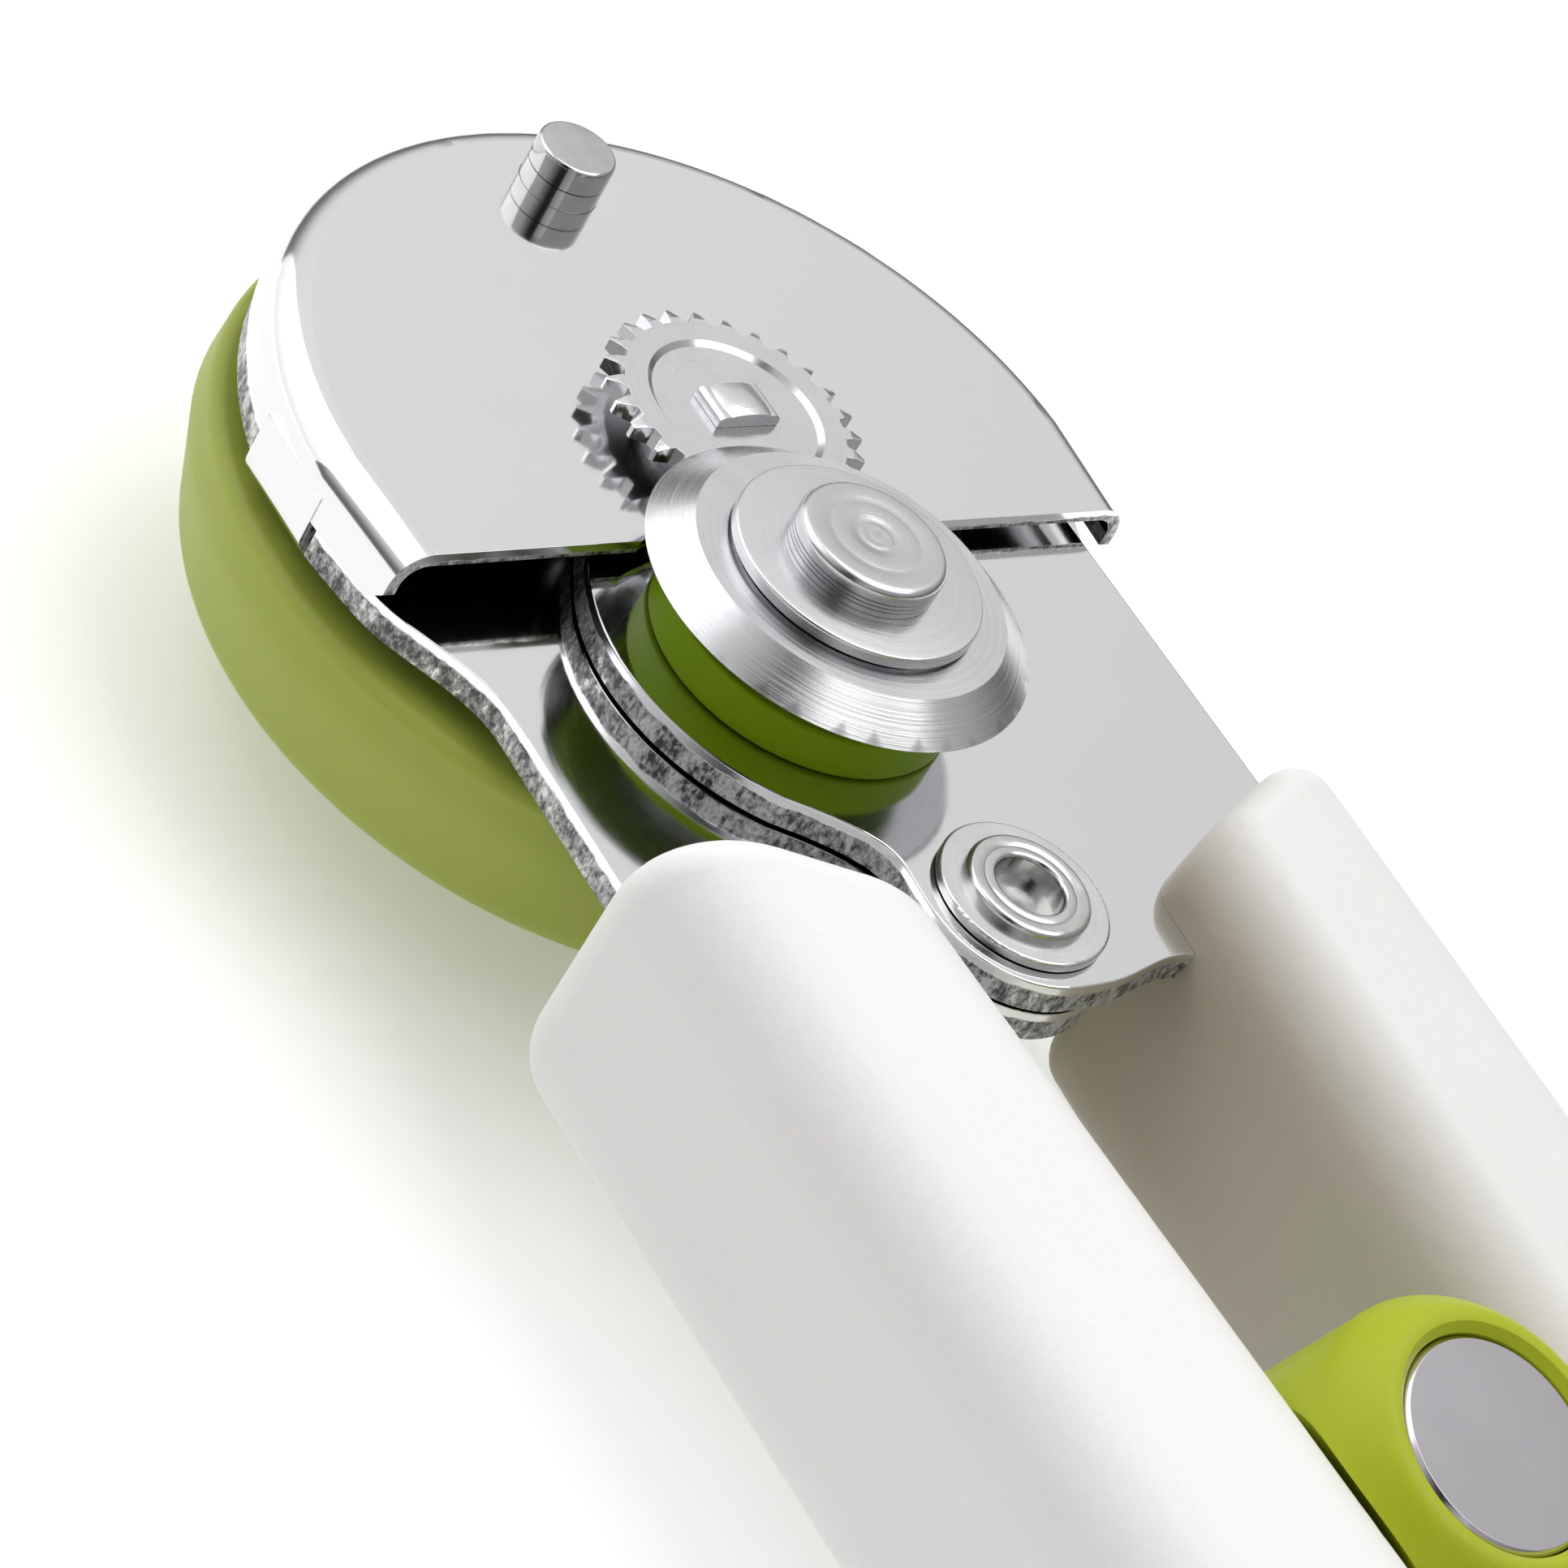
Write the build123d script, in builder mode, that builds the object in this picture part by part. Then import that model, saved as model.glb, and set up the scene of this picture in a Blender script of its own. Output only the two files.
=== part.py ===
from build123d import *
from math import cos, pi, radians, sin, sqrt, tan
import os

# Manual can opener with a side cutting wheel, a turning knob at the back and a lock button.
# Millimetres. The origin is on the drive gear's axis, at the top face of the cover plate.
# +X runs from the head to the handle ends, +Y is the side of the handle with the button,
# +Z points out of the face that carries the cutting wheel.

# ---------------------------------------------------------------- driving sizes
tool_length = 190.0        # head's rim to the handle ends
head_radius = 27.1         # cover plate
head_middle_y = 0.62       # middle of the cover's round rim
gear_to_cutter = (15.04, -2.72)
gear_to_pivot = (33.2, 0.9)
open_angle = 20.0          # swing of the jaws

# fits and gaps
running = 0.05             # radial clearance of a shaft in its bore
seat = 0.02                # clearance between pieces fixed to each other
axial = 0.08               # end float of a turning piece
jaw_gap = 0.15             # between the two jaw plates
guard = 0.4                # space kept between pieces that pass each other

# sheet metal
cover_sheet = 0.85
cover_bend = 2.2
cover_depth = 3.93         # cover's top face to the lower jaw plate
cover_edge_x = 7.35        # straight open edge of the cover
skirt_corner = 1.1         # cut off the skirt's lower corner at the straight edge
cover_flat = 0.6           # the sides are flat this far inside the round rim
side_skirt = 3.0
upper_drop = 1.78          # cover's top face down to the upper jaw plate
lower_jaw_sheet = 2.0
upper_jaw_sheet = cover_depth - jaw_gap - upper_drop

# crimped tab of the cover
tab_start_x = -5.6
tab_end_x = 0.8
tab_foot_sheet = 0.55
tab_fold = 1.3
tab_hook = 2.6
tab_notch = 0.5            # notch of the lower plate beside the tab

# magnet
magnet_place = (-20.95, 1.1)
magnet_radius = 2.45
magnet_height = 2.95
magnet_edge = 0.5
magnet_seat_radius = 3.6
magnet_seat_depth = 1.6

# drive
gear_tip_radius = 8.0
gear_root_radius = 6.85
gear_teeth = 26
gear_bottom = 1.2
gear_thickness = 1.25
tooth_profile = ((-0.32, gear_root_radius), (-0.07, gear_tip_radius),
                 (0.07, gear_tip_radius), (0.32, gear_root_radius))
gear_tip_chamfer = 0.35
gear_recess_radius = 5.45
gear_recess_depth = 0.25
gear_recess_slope = 0.35
shaft_radius = 4.0
tenon_length = 4.4
tenon_width = 2.6
tenon_rise = 0.5
tenon_end_round = 0.45
hex_across = 6.6
shaft_foot = 3.0           # back of the knob to the end of the shaft
bush_radius = 5.2
bush_flange_radius = 6.6
bush_flange = 0.5

# turning knob
knob_radius = 27.4
knob_back_radius = 25.2
knob_gap = 1.45            # lower jaw plate to the knob
knob_depth = 11.0
knob_back_round = 3.6
knob_rim_round = 0.9
knob_wall = 2.6
knob_cover_thickness = 1.6
knob_hub_radius = 9.0
wing_length = 46.0
wing_width = 15.0
wing_height = 5.5
wing_waist = 9.5
wing_round = 2.4
screw_head_radius = 3.2
screw_head_height = 2.0
screw_shank_radius = 1.5
screw_length = 9.0
cap_thickness = 1.2
cap_recess = 1.9           # knob's back to the screw head

# cutting wheel on its stud
stud_radius = 3.0
stud_head_radius = 4.4
stud_head_height = 1.85
stud_head_edge = 0.55
stud_flange_radius = 4.2
stud_flange = 0.8
roller_radius = 9.16
roller_top = 0.95
roller_edge = 0.25
hub_radius = 6.2
cutter_radius = 11.5
cutter_bottom = 2.9
cutter_thickness = 1.82
cutter_land_radius = 9.27
cutter_edge_drop = 0.12
washer_radius = 7.35
washer_thickness = 0.92

# jaw pivot
rivet_radius = 3.0
rivet_bore_radius = 2.05
rivet_bore_depth = 1.5
rivet_head_radius = 3.7
rivet_head_height = 0.66
rivet_head_round = 0.3
pivot_washer_radius = 5.1
pivot_washer_thickness = 0.55
lobe_radius = 6.15

# handles
handle_width = 16.6        # at the station where the handles are placed
handle_swell = 1.6         # added to the width at the swell
swell_x = 88.0
handle_height = 21.4
handle_corner = 6.2
handle_middle_z = -7.9
handle_gap = 17.1          # between the handles at the station where they are placed
handle_station_x = 36.0
handle_toe_in = 2.0        # each handle leans towards the other, degrees
gap_middle_y = 1.55
bar_start_x = 15.0
front_inner_x = {"near": 35.3, "far": 34.0}
front_slant = {"near": 29.0, "far": 24.8}    # handle front against its cross-section, degrees
front_round = 2.4
end_round = 5.6
core_width = 10.4
core_height = 13.0
core_corner = 2.0
core_front = 7.0           # front face of the handle to the core
core_end_wall = 7.0
tang_width = 7.6
tang_end_x = 96.0
pin_radius = 1.6
pin_length = 12.0
pin_stations = (52.0, 82.0)
hang_hole_radius = 2.6
hang_hole_inset = 8.0

# lock button
button_place = (73.3, 1.35, 3.45)
button_tilt = 12.4         # towards the handle ends, degrees
button_radius = 5.83
button_bore_clearance = 0.1
button_thickness = 1.5
button_edge = 0.25
button_travel = 1.8
plunger_flange = 0.8
stem_radius = 2.2
tip_radius = 1.1
tip_length = 2.0
tip_gap = 0.25             # plunger's tip to the pawl at rest
collar_radius = 9.0
collar_shoulder = 3.5
collar_flare = 0.5
collar_rise = 0.35
housing_depth = 15.0
spring_floor = 7.0
spring_floor_thickness = 1.4
spring_wire = 0.3
spring_radius = 4.2
spring_turns = 4.0
spring_gap = 0.12          # left at each end of the coil, whose wire isn't ground flat
housing_screw_radius = 1.2
housing_screw_length = 7.0
housing_screw_spread = 12.0

# lock pawl and its catch
pawl_x = 70.9
pawl_pin_y = -3.45
pawl_pin_z = -8.8
pawl_pin_radius = 0.8
pawl_thickness = 3.0
pawl_arm = 2.2
pawl_tail = 5.8
pawl_nose = 4.7
pawl_tooth = 1.5
pawl_slot_clearance = 0.2
catch_wire = 0.55
pocket_length = 7.4
pocket_depth = 3.9

# ---------------------------------------------------------------- derived places
cutter_x, cutter_y = gear_to_cutter
pivot_x, pivot_y = gear_to_pivot
upper_top = -upper_drop
upper_bottom = upper_top - upper_jaw_sheet
lower_top = -cover_depth
lower_bottom = lower_top - lower_jaw_sheet
knob_top = lower_bottom - knob_gap
knob_back = knob_top - knob_depth
wing_back = knob_back - wing_height
gear_top = gear_bottom + gear_thickness
handle_end_x = tool_length - head_radius
pivot_to_shaft = sqrt(pivot_x**2 + pivot_y**2)
swing_clear = pivot_to_shaft - shaft_radius - guard
cutter_top = cutter_bottom + cutter_thickness
washer_bottom = cutter_top + axial
stud_top = washer_bottom + washer_thickness + stud_head_height
roller_bottom = upper_top + axial
rivet_washer_top = upper_top + axial + pivot_washer_thickness
near_middle_y = gap_middle_y - handle_gap / 2 - handle_width / 2
far_middle_y = gap_middle_y + handle_gap / 2 + handle_width / 2
near_outer_y = near_middle_y - handle_width / 2

os.makedirs("parts", exist_ok=True)


def about_pivot(x, y, angle):
    """The place of a point of the upper jaw when the jaws have opened by angle degrees."""
    dx = x - pivot_x
    dy = y - pivot_y
    turn = radians(angle)
    return (pivot_x + dx * cos(turn) - dy * sin(turn), pivot_y + dx * sin(turn) + dy * cos(turn))


def handle_plane(middle_y, lean, x):
    """Cross-section plane of a handle at x, square to the handle's own axis."""
    y = middle_y + (x - handle_station_x) * tan(radians(lean))
    along = (cos(radians(lean)), sin(radians(lean)), 0)
    across = (-sin(radians(lean)), cos(radians(lean)), 0)
    return Plane(origin=(x, y, handle_middle_z), x_dir=across, z_dir=along)


def tang_corner(middle_y, lean, x, side):
    """Corner of a tang at x, on the side of +Y (side 1) or -Y (side -1)."""
    y = middle_y + (x - handle_station_x) * tan(radians(lean)) + side * tang_width / 2
    return (x, y)


# ---------------------------------------------------------------- jaw plate outlines
neck_y = -21.45
neck_start_x = 17.0
lobe_low = (pivot_x + lobe_radius * cos(radians(-45)), pivot_y + lobe_radius * sin(radians(-45)))
lobe_high = (pivot_x + lobe_radius * cos(radians(55)), pivot_y + lobe_radius * sin(radians(55)))
plate_radius = head_radius - 0.2
rim_top = (0, head_middle_y + plate_radius)
rim_left = (-plate_radius, head_middle_y)
rim_bottom = (0, head_middle_y - plate_radius)
tab_wall_y = head_middle_y - head_radius + cover_sheet
with BuildSketch() as lower_jaw_outline:
    with BuildLine():
        ThreePointArc(rim_top, rim_left, rim_bottom)
        Spline(rim_bottom, (3.6, -25.85), (7.2, -25.0), (10.1, -23.4), (13.2, -21.85), (neck_start_x, neck_y),
               tangents=[(1, 0), (1, 0)])
        Polyline((neck_start_x, neck_y), (31.0, neck_y), (40.0, near_middle_y - tang_width / 2),
                 tang_corner(near_middle_y, handle_toe_in, tang_end_x, -1),
                 tang_corner(near_middle_y, handle_toe_in, tang_end_x, 1),
                 (45.0, near_middle_y + tang_width / 2), lobe_low)
        ThreePointArc(lobe_low, (pivot_x + lobe_radius, pivot_y), lobe_high)
        Polyline(lobe_high, (cover_edge_x + 1.0, 25.6), (cover_edge_x - 3.0, head_middle_y + plate_radius - 0.4),
                 rim_top)
    make_face()
    # notch for the cover's tab
    with Locations(((tab_start_x + tab_end_x) / 2, tab_wall_y + seat - 2.5)):
        Rectangle(tab_end_x - tab_start_x + 2 * tab_notch, 5.0, mode=Mode.SUBTRACT)

jaw_arc = 11.9             # edge of the upper jaw round the cutting wheel's axis
jaw_outer_y = 23.7
step_angle = 193.6
corner_angle = 151.0
front_low = (pivot_x + swing_clear * cos(radians(step_angle)),
             pivot_y + swing_clear * sin(radians(step_angle)))
front_high = (pivot_x + swing_clear * cos(radians(corner_angle)), pivot_y + swing_clear * sin(radians(corner_angle)))
with BuildSketch() as upper_jaw_outline:
    with BuildLine():
        Line((4.6, -11.2), (7.1, -12.6))
        ThreePointArc((7.1, -12.6), (cutter_x, cutter_y - jaw_arc), (24.6, -9.9))
        Spline((24.6, -9.9), (26.6, -7.2), (28.6, pivot_y - lobe_radius - 0.2), (pivot_x, pivot_y - lobe_radius),
               tangents=[(0.55, 0.83), (1, 0)])
        ThreePointArc((pivot_x, pivot_y - lobe_radius),
                      (pivot_x + lobe_radius * cos(radians(-45)), pivot_y + lobe_radius * sin(radians(-45))),
                      (pivot_x + lobe_radius, pivot_y))
        Spline((pivot_x + lobe_radius, pivot_y), (39.2, 4.3), (38.3, 9.6),
               (45.0, far_middle_y - tang_width / 2),
               tangents=[(0, 1), (1, 0.1)])
        Polyline((45.0, far_middle_y - tang_width / 2),
                 tang_corner(far_middle_y, -handle_toe_in, tang_end_x, -1),
                 tang_corner(far_middle_y, -handle_toe_in, tang_end_x, 1),
                 (42.0, far_middle_y + tang_width / 2), (34.0, jaw_outer_y), (3.0, jaw_outer_y),
                 (3.0, 17.0), front_high)
        ThreePointArc(front_high, (pivot_x - swing_clear, pivot_y), front_low)
        Line(front_low, (4.6, -11.2))
    make_face()

# ---------------------------------------------------------------- lower jaw plate
pin_places = {"near": [], "far": []}
for pin_x in pin_stations:
    drift = (pin_x - handle_station_x) * tan(radians(handle_toe_in))
    pin_places["near"].append((pin_x, near_middle_y + drift))
    pin_places["far"].append((pin_x, far_middle_y - drift))

with BuildPart() as lower_jaw_plate:
    with BuildSketch(Plane.XY.offset(lower_bottom)):
        add(lower_jaw_outline.sketch)
        Circle(bush_radius + seat, mode=Mode.SUBTRACT)
        with Locations(gear_to_pivot):
            Circle(rivet_radius + seat, mode=Mode.SUBTRACT)
        with Locations(*pin_places["near"]):
            Circle(pin_radius + seat, mode=Mode.SUBTRACT)
    extrude(amount=lower_jaw_sheet)
lower_jaw_plate.part.label = "lower_jaw_plate"
export_step(lower_jaw_plate.part, "parts/lower_jaw_plate.step")

# ---------------------------------------------------------------- upper jaw plate
with BuildPart() as upper_jaw_plate:
    with BuildSketch(Plane.XY.offset(upper_bottom)):
        add(upper_jaw_outline.sketch)
        with Locations(gear_to_pivot):
            Circle(rivet_radius + running, mode=Mode.SUBTRACT)
        with Locations(gear_to_cutter):
            Circle(stud_radius + seat, mode=Mode.SUBTRACT)
        with Locations(*pin_places["far"]):
            Circle(pin_radius + seat, mode=Mode.SUBTRACT)
    extrude(amount=upper_jaw_sheet)
    with BuildSketch(Plane.XY.offset(upper_bottom)):
        with Locations(gear_to_cutter):
            Circle(stud_flange_radius + seat)
    extrude(amount=stud_flange + seat, mode=Mode.SUBTRACT)
upper_jaw_plate.part.label = "upper_jaw_plate"
export_step(upper_jaw_plate.part, "parts/upper_jaw_plate.step")

# ---------------------------------------------------------------- cover plate


def cover_outline(inset):
    """D shape of the cover, drawn inset inside its outer face and open at the straight edge."""
    radius = head_radius - inset
    side = radius - cover_flat
    reach = cover_edge_x + (1.0 if inset else 0.0)
    with BuildSketch() as outline:
        with BuildLine():
            ThreePointArc((0, radius), (-radius, 0), (0, -radius))
            Polyline((0, -radius), (reach, -side), (reach, side), (0, radius))
        make_face()
    return outline.sketch.moved(Location((0, head_middle_y, 0)))


with BuildPart() as cover_hollow:
    with BuildSketch(Plane.XY.offset(lower_top)):
        add(cover_outline(cover_sheet))
    extrude(amount=cover_depth - cover_sheet)
    inner_rim = cover_hollow.faces().sort_by(Axis.Z)[-1].edges().sort_by(Axis.X)[:-1]
    fillet(inner_rim, cover_bend - cover_sheet)

# tab pressed out of the skirt and folded under the lower plate
tab_face_y = head_middle_y - head_radius
tab_foot = lower_bottom - tab_foot_sheet
with BuildPart() as cover_tab:
    with BuildSketch(Plane.YZ.offset(tab_start_x)):
        with BuildLine():
            Polyline((tab_wall_y, -cover_bend), (tab_face_y, -cover_bend), (tab_face_y, tab_foot + tab_fold))
            RadiusArc((tab_face_y, tab_foot + tab_fold), (tab_face_y + tab_fold, tab_foot), -tab_fold)
            Polyline((tab_face_y + tab_fold, tab_foot), (tab_face_y + tab_hook, tab_foot),
                     (tab_face_y + tab_hook, lower_bottom - seat), (tab_wall_y, lower_bottom - seat),
                     (tab_wall_y, -cover_bend))
        make_face()
    extrude(amount=tab_end_x - tab_start_x)

with BuildPart() as cover_plate:
    with BuildSketch(Plane.XY.offset(lower_top)):
        add(cover_outline(0))
    extrude(amount=cover_depth)
    top_rim = cover_plate.faces().sort_by(Axis.Z)[-1].edges().sort_by(Axis.X)[:-1]
    fillet(top_rim, cover_bend)
    add(cover_hollow.part, mode=Mode.SUBTRACT)
    # the skirt on the far side is cut short of the lower plate
    with BuildSketch(Plane.XY.offset(lower_top)):
        with Locations((0, head_middle_y + head_radius)):
            Rectangle(2 * cover_edge_x + 12, 8)
    extrude(amount=cover_depth - side_skirt, mode=Mode.SUBTRACT)
    # the near skirt's lower corner is cut off at the straight edge
    with BuildSketch(Plane.XZ):
        with BuildLine():
            Polyline((cover_edge_x - skirt_corner, lower_top), (cover_edge_x, lower_top),
                     (cover_edge_x, lower_top + skirt_corner), close=True)
        make_face()
    extrude(amount=2 * head_radius, mode=Mode.SUBTRACT)
    # running hole of the drive shaft, seat of the magnet
    with BuildSketch(Plane.XY.offset(-cover_sheet)):
        Circle(shaft_radius + guard)
        with Locations(magnet_place):
            Circle(magnet_radius + seat)
    extrude(amount=cover_sheet, mode=Mode.SUBTRACT)
    # path of the guide roller as the jaws open
    with BuildSketch(Plane.XY.offset(-cover_sheet)):
        for opened in (0, open_angle / 4, open_angle / 2, open_angle * 3 / 4):
            with Locations(about_pivot(cutter_x, cutter_y, opened)):
                Circle(roller_radius + guard)
    extrude(amount=cover_sheet, mode=Mode.SUBTRACT)
    add(cover_tab.part)
cover_plate.part.label = "cover_plate"
export_step(cover_plate.part, "parts/cover_plate.step")

# ---------------------------------------------------------------- magnet
magnet_foot = -cover_sheet - magnet_seat_depth
with BuildPart() as lid_magnet:
    with BuildSketch(Plane.XY.offset(magnet_foot + 0.6)):
        with Locations(magnet_place):
            Circle(magnet_radius)
    extrude(amount=magnet_height - magnet_foot - 0.6)
    fillet(lid_magnet.faces().sort_by(Axis.Z)[-1].edges(), magnet_edge)
lid_magnet.part.label = "lid_magnet"
export_step(lid_magnet.part, "parts/lid_magnet.step")

with BuildPart() as magnet_seat:
    with BuildSketch(Plane.XY.offset(magnet_foot)):
        with Locations(magnet_place):
            Circle(magnet_seat_radius)
    extrude(amount=magnet_seat_depth - seat)
    with BuildSketch(Plane.XY.offset(magnet_foot + 0.6 - seat)):
        with Locations(magnet_place):
            Circle(magnet_radius + seat)
    extrude(amount=magnet_seat_depth, mode=Mode.SUBTRACT)
magnet_seat.part.label = "magnet_seat"
export_step(magnet_seat.part, "parts/magnet_seat.step")

# ---------------------------------------------------------------- drive gear, shaft and bush
with BuildPart() as drive_gear:
    tooth_points = []
    for tooth in range(gear_teeth):
        middle = 2 * pi * tooth / gear_teeth
        for share, radius in tooth_profile:
            turn = middle + share * 2 * pi / gear_teeth
            tooth_points.append((radius * cos(turn), radius * sin(turn)))
    with BuildSketch(Plane.XY.offset(gear_bottom)):
        with BuildLine():
            Polyline(*tooth_points, close=True)
        make_face()
        Rectangle(tenon_width + 2 * seat, tenon_length + 2 * seat, mode=Mode.SUBTRACT)
    extrude(amount=gear_thickness)
    # teeth thin out from below, and lose a little at the top
    with BuildSketch(Plane.XZ):
        with BuildLine():
            Polyline((0, gear_bottom), (gear_root_radius - 0.4, gear_bottom),
                     (gear_tip_radius + 0.1, gear_bottom + gear_tip_chamfer),
                     (gear_tip_radius + 0.1, gear_top - 0.2), (gear_root_radius + 0.4, gear_top),
                     (gear_recess_radius, gear_top),
                     (gear_recess_radius - gear_recess_slope, gear_top - gear_recess_depth),
                     (0, gear_top - gear_recess_depth), close=True)
        make_face()
    revolve(axis=Axis.Z, mode=Mode.INTERSECT)
drive_gear.part.label = "drive_gear"
export_step(drive_gear.part, "parts/drive_gear.step")

shaft_bottom = knob_back + shaft_foot
with BuildPart() as drive_shaft:
    with BuildSketch(Plane.XY.offset(knob_top)):
        Circle(shaft_radius)
    extrude(amount=gear_bottom - seat - knob_top)
    with BuildSketch(Plane.XY.offset(gear_bottom - seat)):
        Rectangle(tenon_width, tenon_length)
    extrude(amount=gear_thickness + tenon_rise)
    with BuildSketch(Plane.XY.offset(shaft_bottom)):
        RegularPolygon(hex_across / 2, 6, major_radius=False)
    extrude(amount=knob_top - shaft_bottom)
    with BuildSketch(Plane.XY.offset(shaft_bottom)):
        Circle(screw_shank_radius + seat)
    extrude(amount=screw_length, mode=Mode.SUBTRACT)
    tenon_edges = drive_shaft.faces().sort_by(Axis.Z)[-1].edges().filter_by(Axis.X)
    fillet(tenon_edges, tenon_end_round)
drive_shaft.part.label = "drive_shaft"
export_step(drive_shaft.part, "parts/drive_shaft.step")

with BuildPart() as shaft_bush:
    with BuildSketch(Plane.XY.offset(lower_bottom - bush_flange)):
        Circle(bush_flange_radius)
    extrude(amount=bush_flange - seat)
    with BuildSketch(Plane.XY.offset(lower_bottom - seat)):
        Circle(bush_radius)
    extrude(amount=lower_jaw_sheet)
    with BuildSketch(Plane.XY.offset(lower_bottom - bush_flange)):
        Circle(shaft_radius + running)
    extrude(amount=bush_flange + lower_jaw_sheet, mode=Mode.SUBTRACT)
shaft_bush.part.label = "shaft_bush"
export_step(shaft_bush.part, "parts/shaft_bush.step")

with BuildPart() as thrust_washer:
    with BuildSketch(Plane.XY.offset(knob_top)):
        Circle(bush_flange_radius + 1.0)
        Circle(shaft_radius + seat, mode=Mode.SUBTRACT)
    extrude(amount=knob_gap - bush_flange - axial)
thrust_washer.part.label = "thrust_washer"
export_step(thrust_washer.part, "parts/thrust_washer.step")

# ---------------------------------------------------------------- turning knob
knob_ledge = knob_top - knob_cover_thickness
knob_hollow_radius = knob_radius - knob_wall - 2.1
knob_cover_radius = knob_hollow_radius + 1.8
with BuildPart() as turning_knob:
    with BuildSketch(Plane.XZ):
        with BuildLine():
            Polyline((0, knob_top), (knob_radius - 0.25, knob_top), (knob_radius, knob_top - 3.0),
                     (knob_back_radius, knob_back), (0, knob_back), close=True)
        make_face()
    revolve(axis=Axis.Z)
    fillet(turning_knob.edges().filter_by(GeomType.CIRCLE).group_by(Axis.Z)[0], knob_back_round)
    fillet(turning_knob.edges().filter_by(GeomType.CIRCLE).group_by(Axis.Z)[-1], knob_rim_round)
    # finger wing across the back, waisted in the middle
    with BuildSketch(Plane.XY.offset(wing_back)):
        with BuildLine():
            Spline((-wing_length / 2 + 4, wing_width / 2), (0, wing_waist / 2), (wing_length / 2 - 4, wing_width / 2),
                   tangents=[(1, 0), (1, 0)])
            ThreePointArc((wing_length / 2 - 4, wing_width / 2), (wing_length / 2, 0),
                          (wing_length / 2 - 4, -wing_width / 2))
            Spline((wing_length / 2 - 4, -wing_width / 2), (0, -wing_waist / 2), (-wing_length / 2 + 4, -wing_width / 2),
                   tangents=[(-1, 0), (-1, 0)])
            ThreePointArc((-wing_length / 2 + 4, -wing_width / 2), (-wing_length / 2, 0),
                          (-wing_length / 2 + 4, wing_width / 2))
        make_face()
    extrude(amount=wing_height + 2.0)
    fillet(turning_knob.faces().sort_by(Axis.Z)[0].edges(), wing_round)
    # hollow for the knob's cover disc and the space behind it
    with BuildSketch(Plane.XY.offset(knob_ledge)):
        Circle(knob_cover_radius)
    extrude(amount=knob_cover_thickness, mode=Mode.SUBTRACT)
    with BuildSketch(Plane.XY.offset(knob_back + knob_wall)):
        Circle(knob_hollow_radius)
        Circle(knob_hub_radius, mode=Mode.SUBTRACT)
    extrude(amount=knob_ledge - knob_back - knob_wall, mode=Mode.SUBTRACT)
    # hexagon bore, screw hole and cap recess
    with BuildSketch(Plane.XY.offset(shaft_bottom - seat)):
        RegularPolygon(hex_across / 2 + seat, 6, major_radius=False)
    extrude(amount=knob_top - shaft_bottom, mode=Mode.SUBTRACT)
    with BuildSketch(Plane.XY.offset(wing_back)):
        Circle(screw_shank_radius + guard)
    extrude(amount=shaft_bottom - wing_back, mode=Mode.SUBTRACT)
    with BuildSketch(Plane.XY.offset(wing_back)):
        Circle(screw_head_radius + seat)
    extrude(amount=cap_recess + screw_head_height, mode=Mode.SUBTRACT)
turning_knob.part.label = "turning_knob"
export_step(turning_knob.part, "parts/turning_knob.step")

with BuildPart() as knob_cover:
    with BuildSketch(Plane.XY.offset(knob_ledge)):
        Circle(knob_cover_radius - running)
        Circle(knob_hub_radius + running, mode=Mode.SUBTRACT)
    extrude(amount=knob_cover_thickness - 0.1)
knob_cover.part.label = "knob_cover"
export_step(knob_cover.part, "parts/knob_cover.step")

screw_seat = wing_back + cap_recess + screw_head_height
with BuildPart() as knob_screw:
    with BuildSketch(Plane.XY.offset(screw_seat - screw_head_height)):
        Circle(screw_head_radius)
    extrude(amount=screw_head_height - seat)
    with BuildSketch(Plane.XY.offset(screw_seat - seat)):
        Circle(screw_shank_radius)
    extrude(amount=shaft_bottom - screw_seat + screw_length - 1.0)
    with BuildSketch(Plane.XY.offset(screw_seat - screw_head_height)):
        Rectangle(2 * screw_head_radius - 1.2, 0.9)
        Rectangle(0.9, 2 * screw_head_radius - 1.2)
    extrude(amount=1.0, mode=Mode.SUBTRACT)
knob_screw.part.label = "knob_screw"
export_step(knob_screw.part, "parts/knob_screw.step")

with BuildPart() as knob_cap:
    with BuildSketch(Plane.XY.offset(wing_back + 0.3)):
        Circle(screw_head_radius - seat)
    extrude(amount=cap_thickness)
    fillet(knob_cap.faces().sort_by(Axis.Z)[0].edges(), 0.4)
knob_cap.part.label = "knob_cap"
export_step(knob_cap.part, "parts/knob_cap.step")

# ---------------------------------------------------------------- cutting wheel, roller and stud
with BuildPart() as cutter_stud:
    with BuildSketch(Plane.XY.offset(upper_bottom)):
        with Locations(gear_to_cutter):
            Circle(stud_flange_radius)
    extrude(amount=stud_flange)
    with BuildSketch(Plane.XY.offset(upper_bottom)):
        with Locations(gear_to_cutter):
            Circle(stud_radius)
    extrude(amount=stud_top - upper_bottom)
    with BuildSketch(Plane.XY.offset(stud_top - stud_head_height)):
        with Locations(gear_to_cutter):
            Circle(stud_head_radius)
    extrude(amount=stud_head_height)
    fillet(cutter_stud.faces().sort_by(Axis.Z)[-1].edges(), stud_head_edge)
cutter_stud.part.label = "cutter_stud"
export_step(cutter_stud.part, "parts/cutter_stud.step")

with BuildPart() as cutter_washer:
    with BuildSketch(Plane.XY.offset(washer_bottom)):
        with Locations(gear_to_cutter):
            Circle(washer_radius)
            Circle(stud_radius + seat, mode=Mode.SUBTRACT)
    extrude(amount=washer_thickness)
    fillet(cutter_washer.faces().sort_by(Axis.Z)[-1].edges().sort_by(SortBy.LENGTH)[-1], 0.18)
cutter_washer.part.label = "cutter_washer"
export_step(cutter_washer.part, "parts/cutter_washer.step")

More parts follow.
